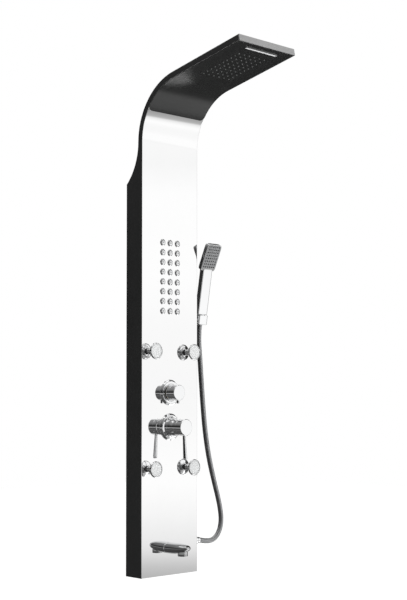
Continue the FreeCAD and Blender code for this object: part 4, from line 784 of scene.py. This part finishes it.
def cup():
    """C-shaped wall carried up the cup: outside a superellipse, inside a circle that widens upwards.

    Both curves start and end at the slot's edges; the end rows close on the wall's middle line.
    """
    turn = np.linspace(0, math.pi / 2, 5)
    ease = CUP_EASE * (1 - np.cos(turn))
    rise = CUP_EASE * (1 - np.sin(turn))
    foot = np.stack([rise, ease], 1)[::-1]
    top = np.stack([CUP_HEIGHT - rise, ease], 1)
    levels = np.concatenate([foot, [[2, 0], [CUP_HEIGHT - 2, 0]], top])
    height, inset = levels[:, :1], levels[:, 1:]
    along = np.linspace(0, 1, 90)[None]
    wide, deep = CUP_HALF_WIDTH - inset, CUP_HALF_DEPTH - inset
    edge = np.arcsin(np.clip((SLOT_HALF + inset) / deep, 0, 1) ** (CUP_POWER / 2))
    turn = edge + (2 * np.pi - 2 * edge) * along
    outer = np.stack([wide * np.sign(np.cos(turn)) * np.abs(np.cos(turn)) ** (2 / CUP_POWER),
                      deep * np.sign(np.sin(turn)) * np.abs(np.sin(turn)) ** (2 / CUP_POWER)], -1)
    bore = BORE_FOOT + BORE_TAPER * height / CUP_HEIGHT + inset
    start = np.arcsin(np.clip((SLOT_HALF + inset) / bore, 0, 1))
    turn = start + (2 * np.pi - 2 * start) * along
    inner = np.stack([bore * np.cos(turn), bore * np.sin(turn)], -1)
    loop = np.concatenate([outer, inner[:, ::-1]], 1)
    middle = (outer + inner) / 2
    closing = np.concatenate([middle, middle[:, ::-1]], 1)
    loop = np.concatenate([closing[:1], loop, closing[-1:]])
    height = np.concatenate([height[:1], height, height[-1:]])[..., None]
    return CRADLE + (loop[..., :1] * np.array([1, 0, 0]) + loop[..., 1:] * out + height * up) / 1000


arm = lathe([(0, -10), (7, -10), (7, 0), (14, 0), (14, 2.6), (13.3, 3.6), (11.5, 4.2), (9.3, 4.7), (8, 6.2),
             (8, 25.2), (0, 25.2)], CRADLE + ARM_RISE * up - ARM_REACH * np.array(RIGHT), RIGHT, 64)
cradle = skin("cradle_cup", [cup(), arm], "column", ["handset_holder"])
paint(CHROME, cradle)

# ---------------------------------------------------------------- hose outlet
# Chromed brass fitting with a flange, fixed through the side wall.
# The nut on it, made with the hose, clamps the hose's end.
outlet = skin("outlet_fitting", [lathe(
    [(4, -10), (8, -10), (8, 0), (13, 0), (13, 1.8), (12.2, 2.8), (10.6, 3.6), (9.5, 4.4), (9.5, 16),
     (4, 16), (4, -10)], SIDE_PORT, RIGHT)], "column", ["hose_outlet"])
paint(CHROME, outlet, nut)

# ---------------------------------------------------------------- valves
# Behind the front: the bodies of both valves and the nuts of the jets and the spout, cast in brass.
# The diverter's spindle and the mixer's stem are turned brass; the mixer's cartridge is a white moulding.
paint(finish("cast_brass", (0.50, 0.34, 0.14), (0.64, 0.47, 0.22), 0.32, 1.0, blotch=0.25, scale=1600,
             bump=0.3), "diverter_valve", "mixer_valve", "body_jet_nuts", "spout_nut")
paint(finish("turned_brass", (0.66, 0.50, 0.25), (0.74, 0.58, 0.31), 0.18, 1.0, blotch=0.1,
             stretch=(0.05, 1, 1), bump=0.15), "diverter_spindle", "mixer_stem")
paint(finish("white_cartridge", (0.60, 0.60, 0.57), (0.72, 0.72, 0.69), 0.4, scale=1500), "mixer_cartridge")

# ---------------------------------------------------------------- water ways
# Black moulded boxes behind the rain nozzles and the small jets.
# Pale flexible pipes run from the mixer to the diverter and on to the outlets.
paint(finish("black_water_box", (0.02, 0.02, 0.021), (0.04, 0.04, 0.042), 0.5, blotch=0.15, bump=0.3),
      "rain_chamber", "mini_jet_manifold")
paint(finish("pale_pipe", (0.52, 0.53, 0.53), (0.66, 0.67, 0.67), 0.42, blotch=0.15, scale=500, bump=0.2),
      "pipe_mixed", "pipe_rain", "pipe_waterfall", "pipe_mini_jets", "jet_pipe_left", "jet_pipe_right",
      "pipe_spout", "pipe_handset")

# ---------------------------------------------------------------- wall fixings
# Two brackets screwed to the wall and the rails inside the casing that hang on them.
# Folded sheet steel, zinc-plated.
paint(finish("zinc_plate", (0.40, 0.41, 0.42), (0.56, 0.57, 0.60), 0.36, 1.0, blotch=0.3, scale=300,
             bump=0.15), "wall_bracket_upper", "wall_bracket_lower", "hanger_rails")
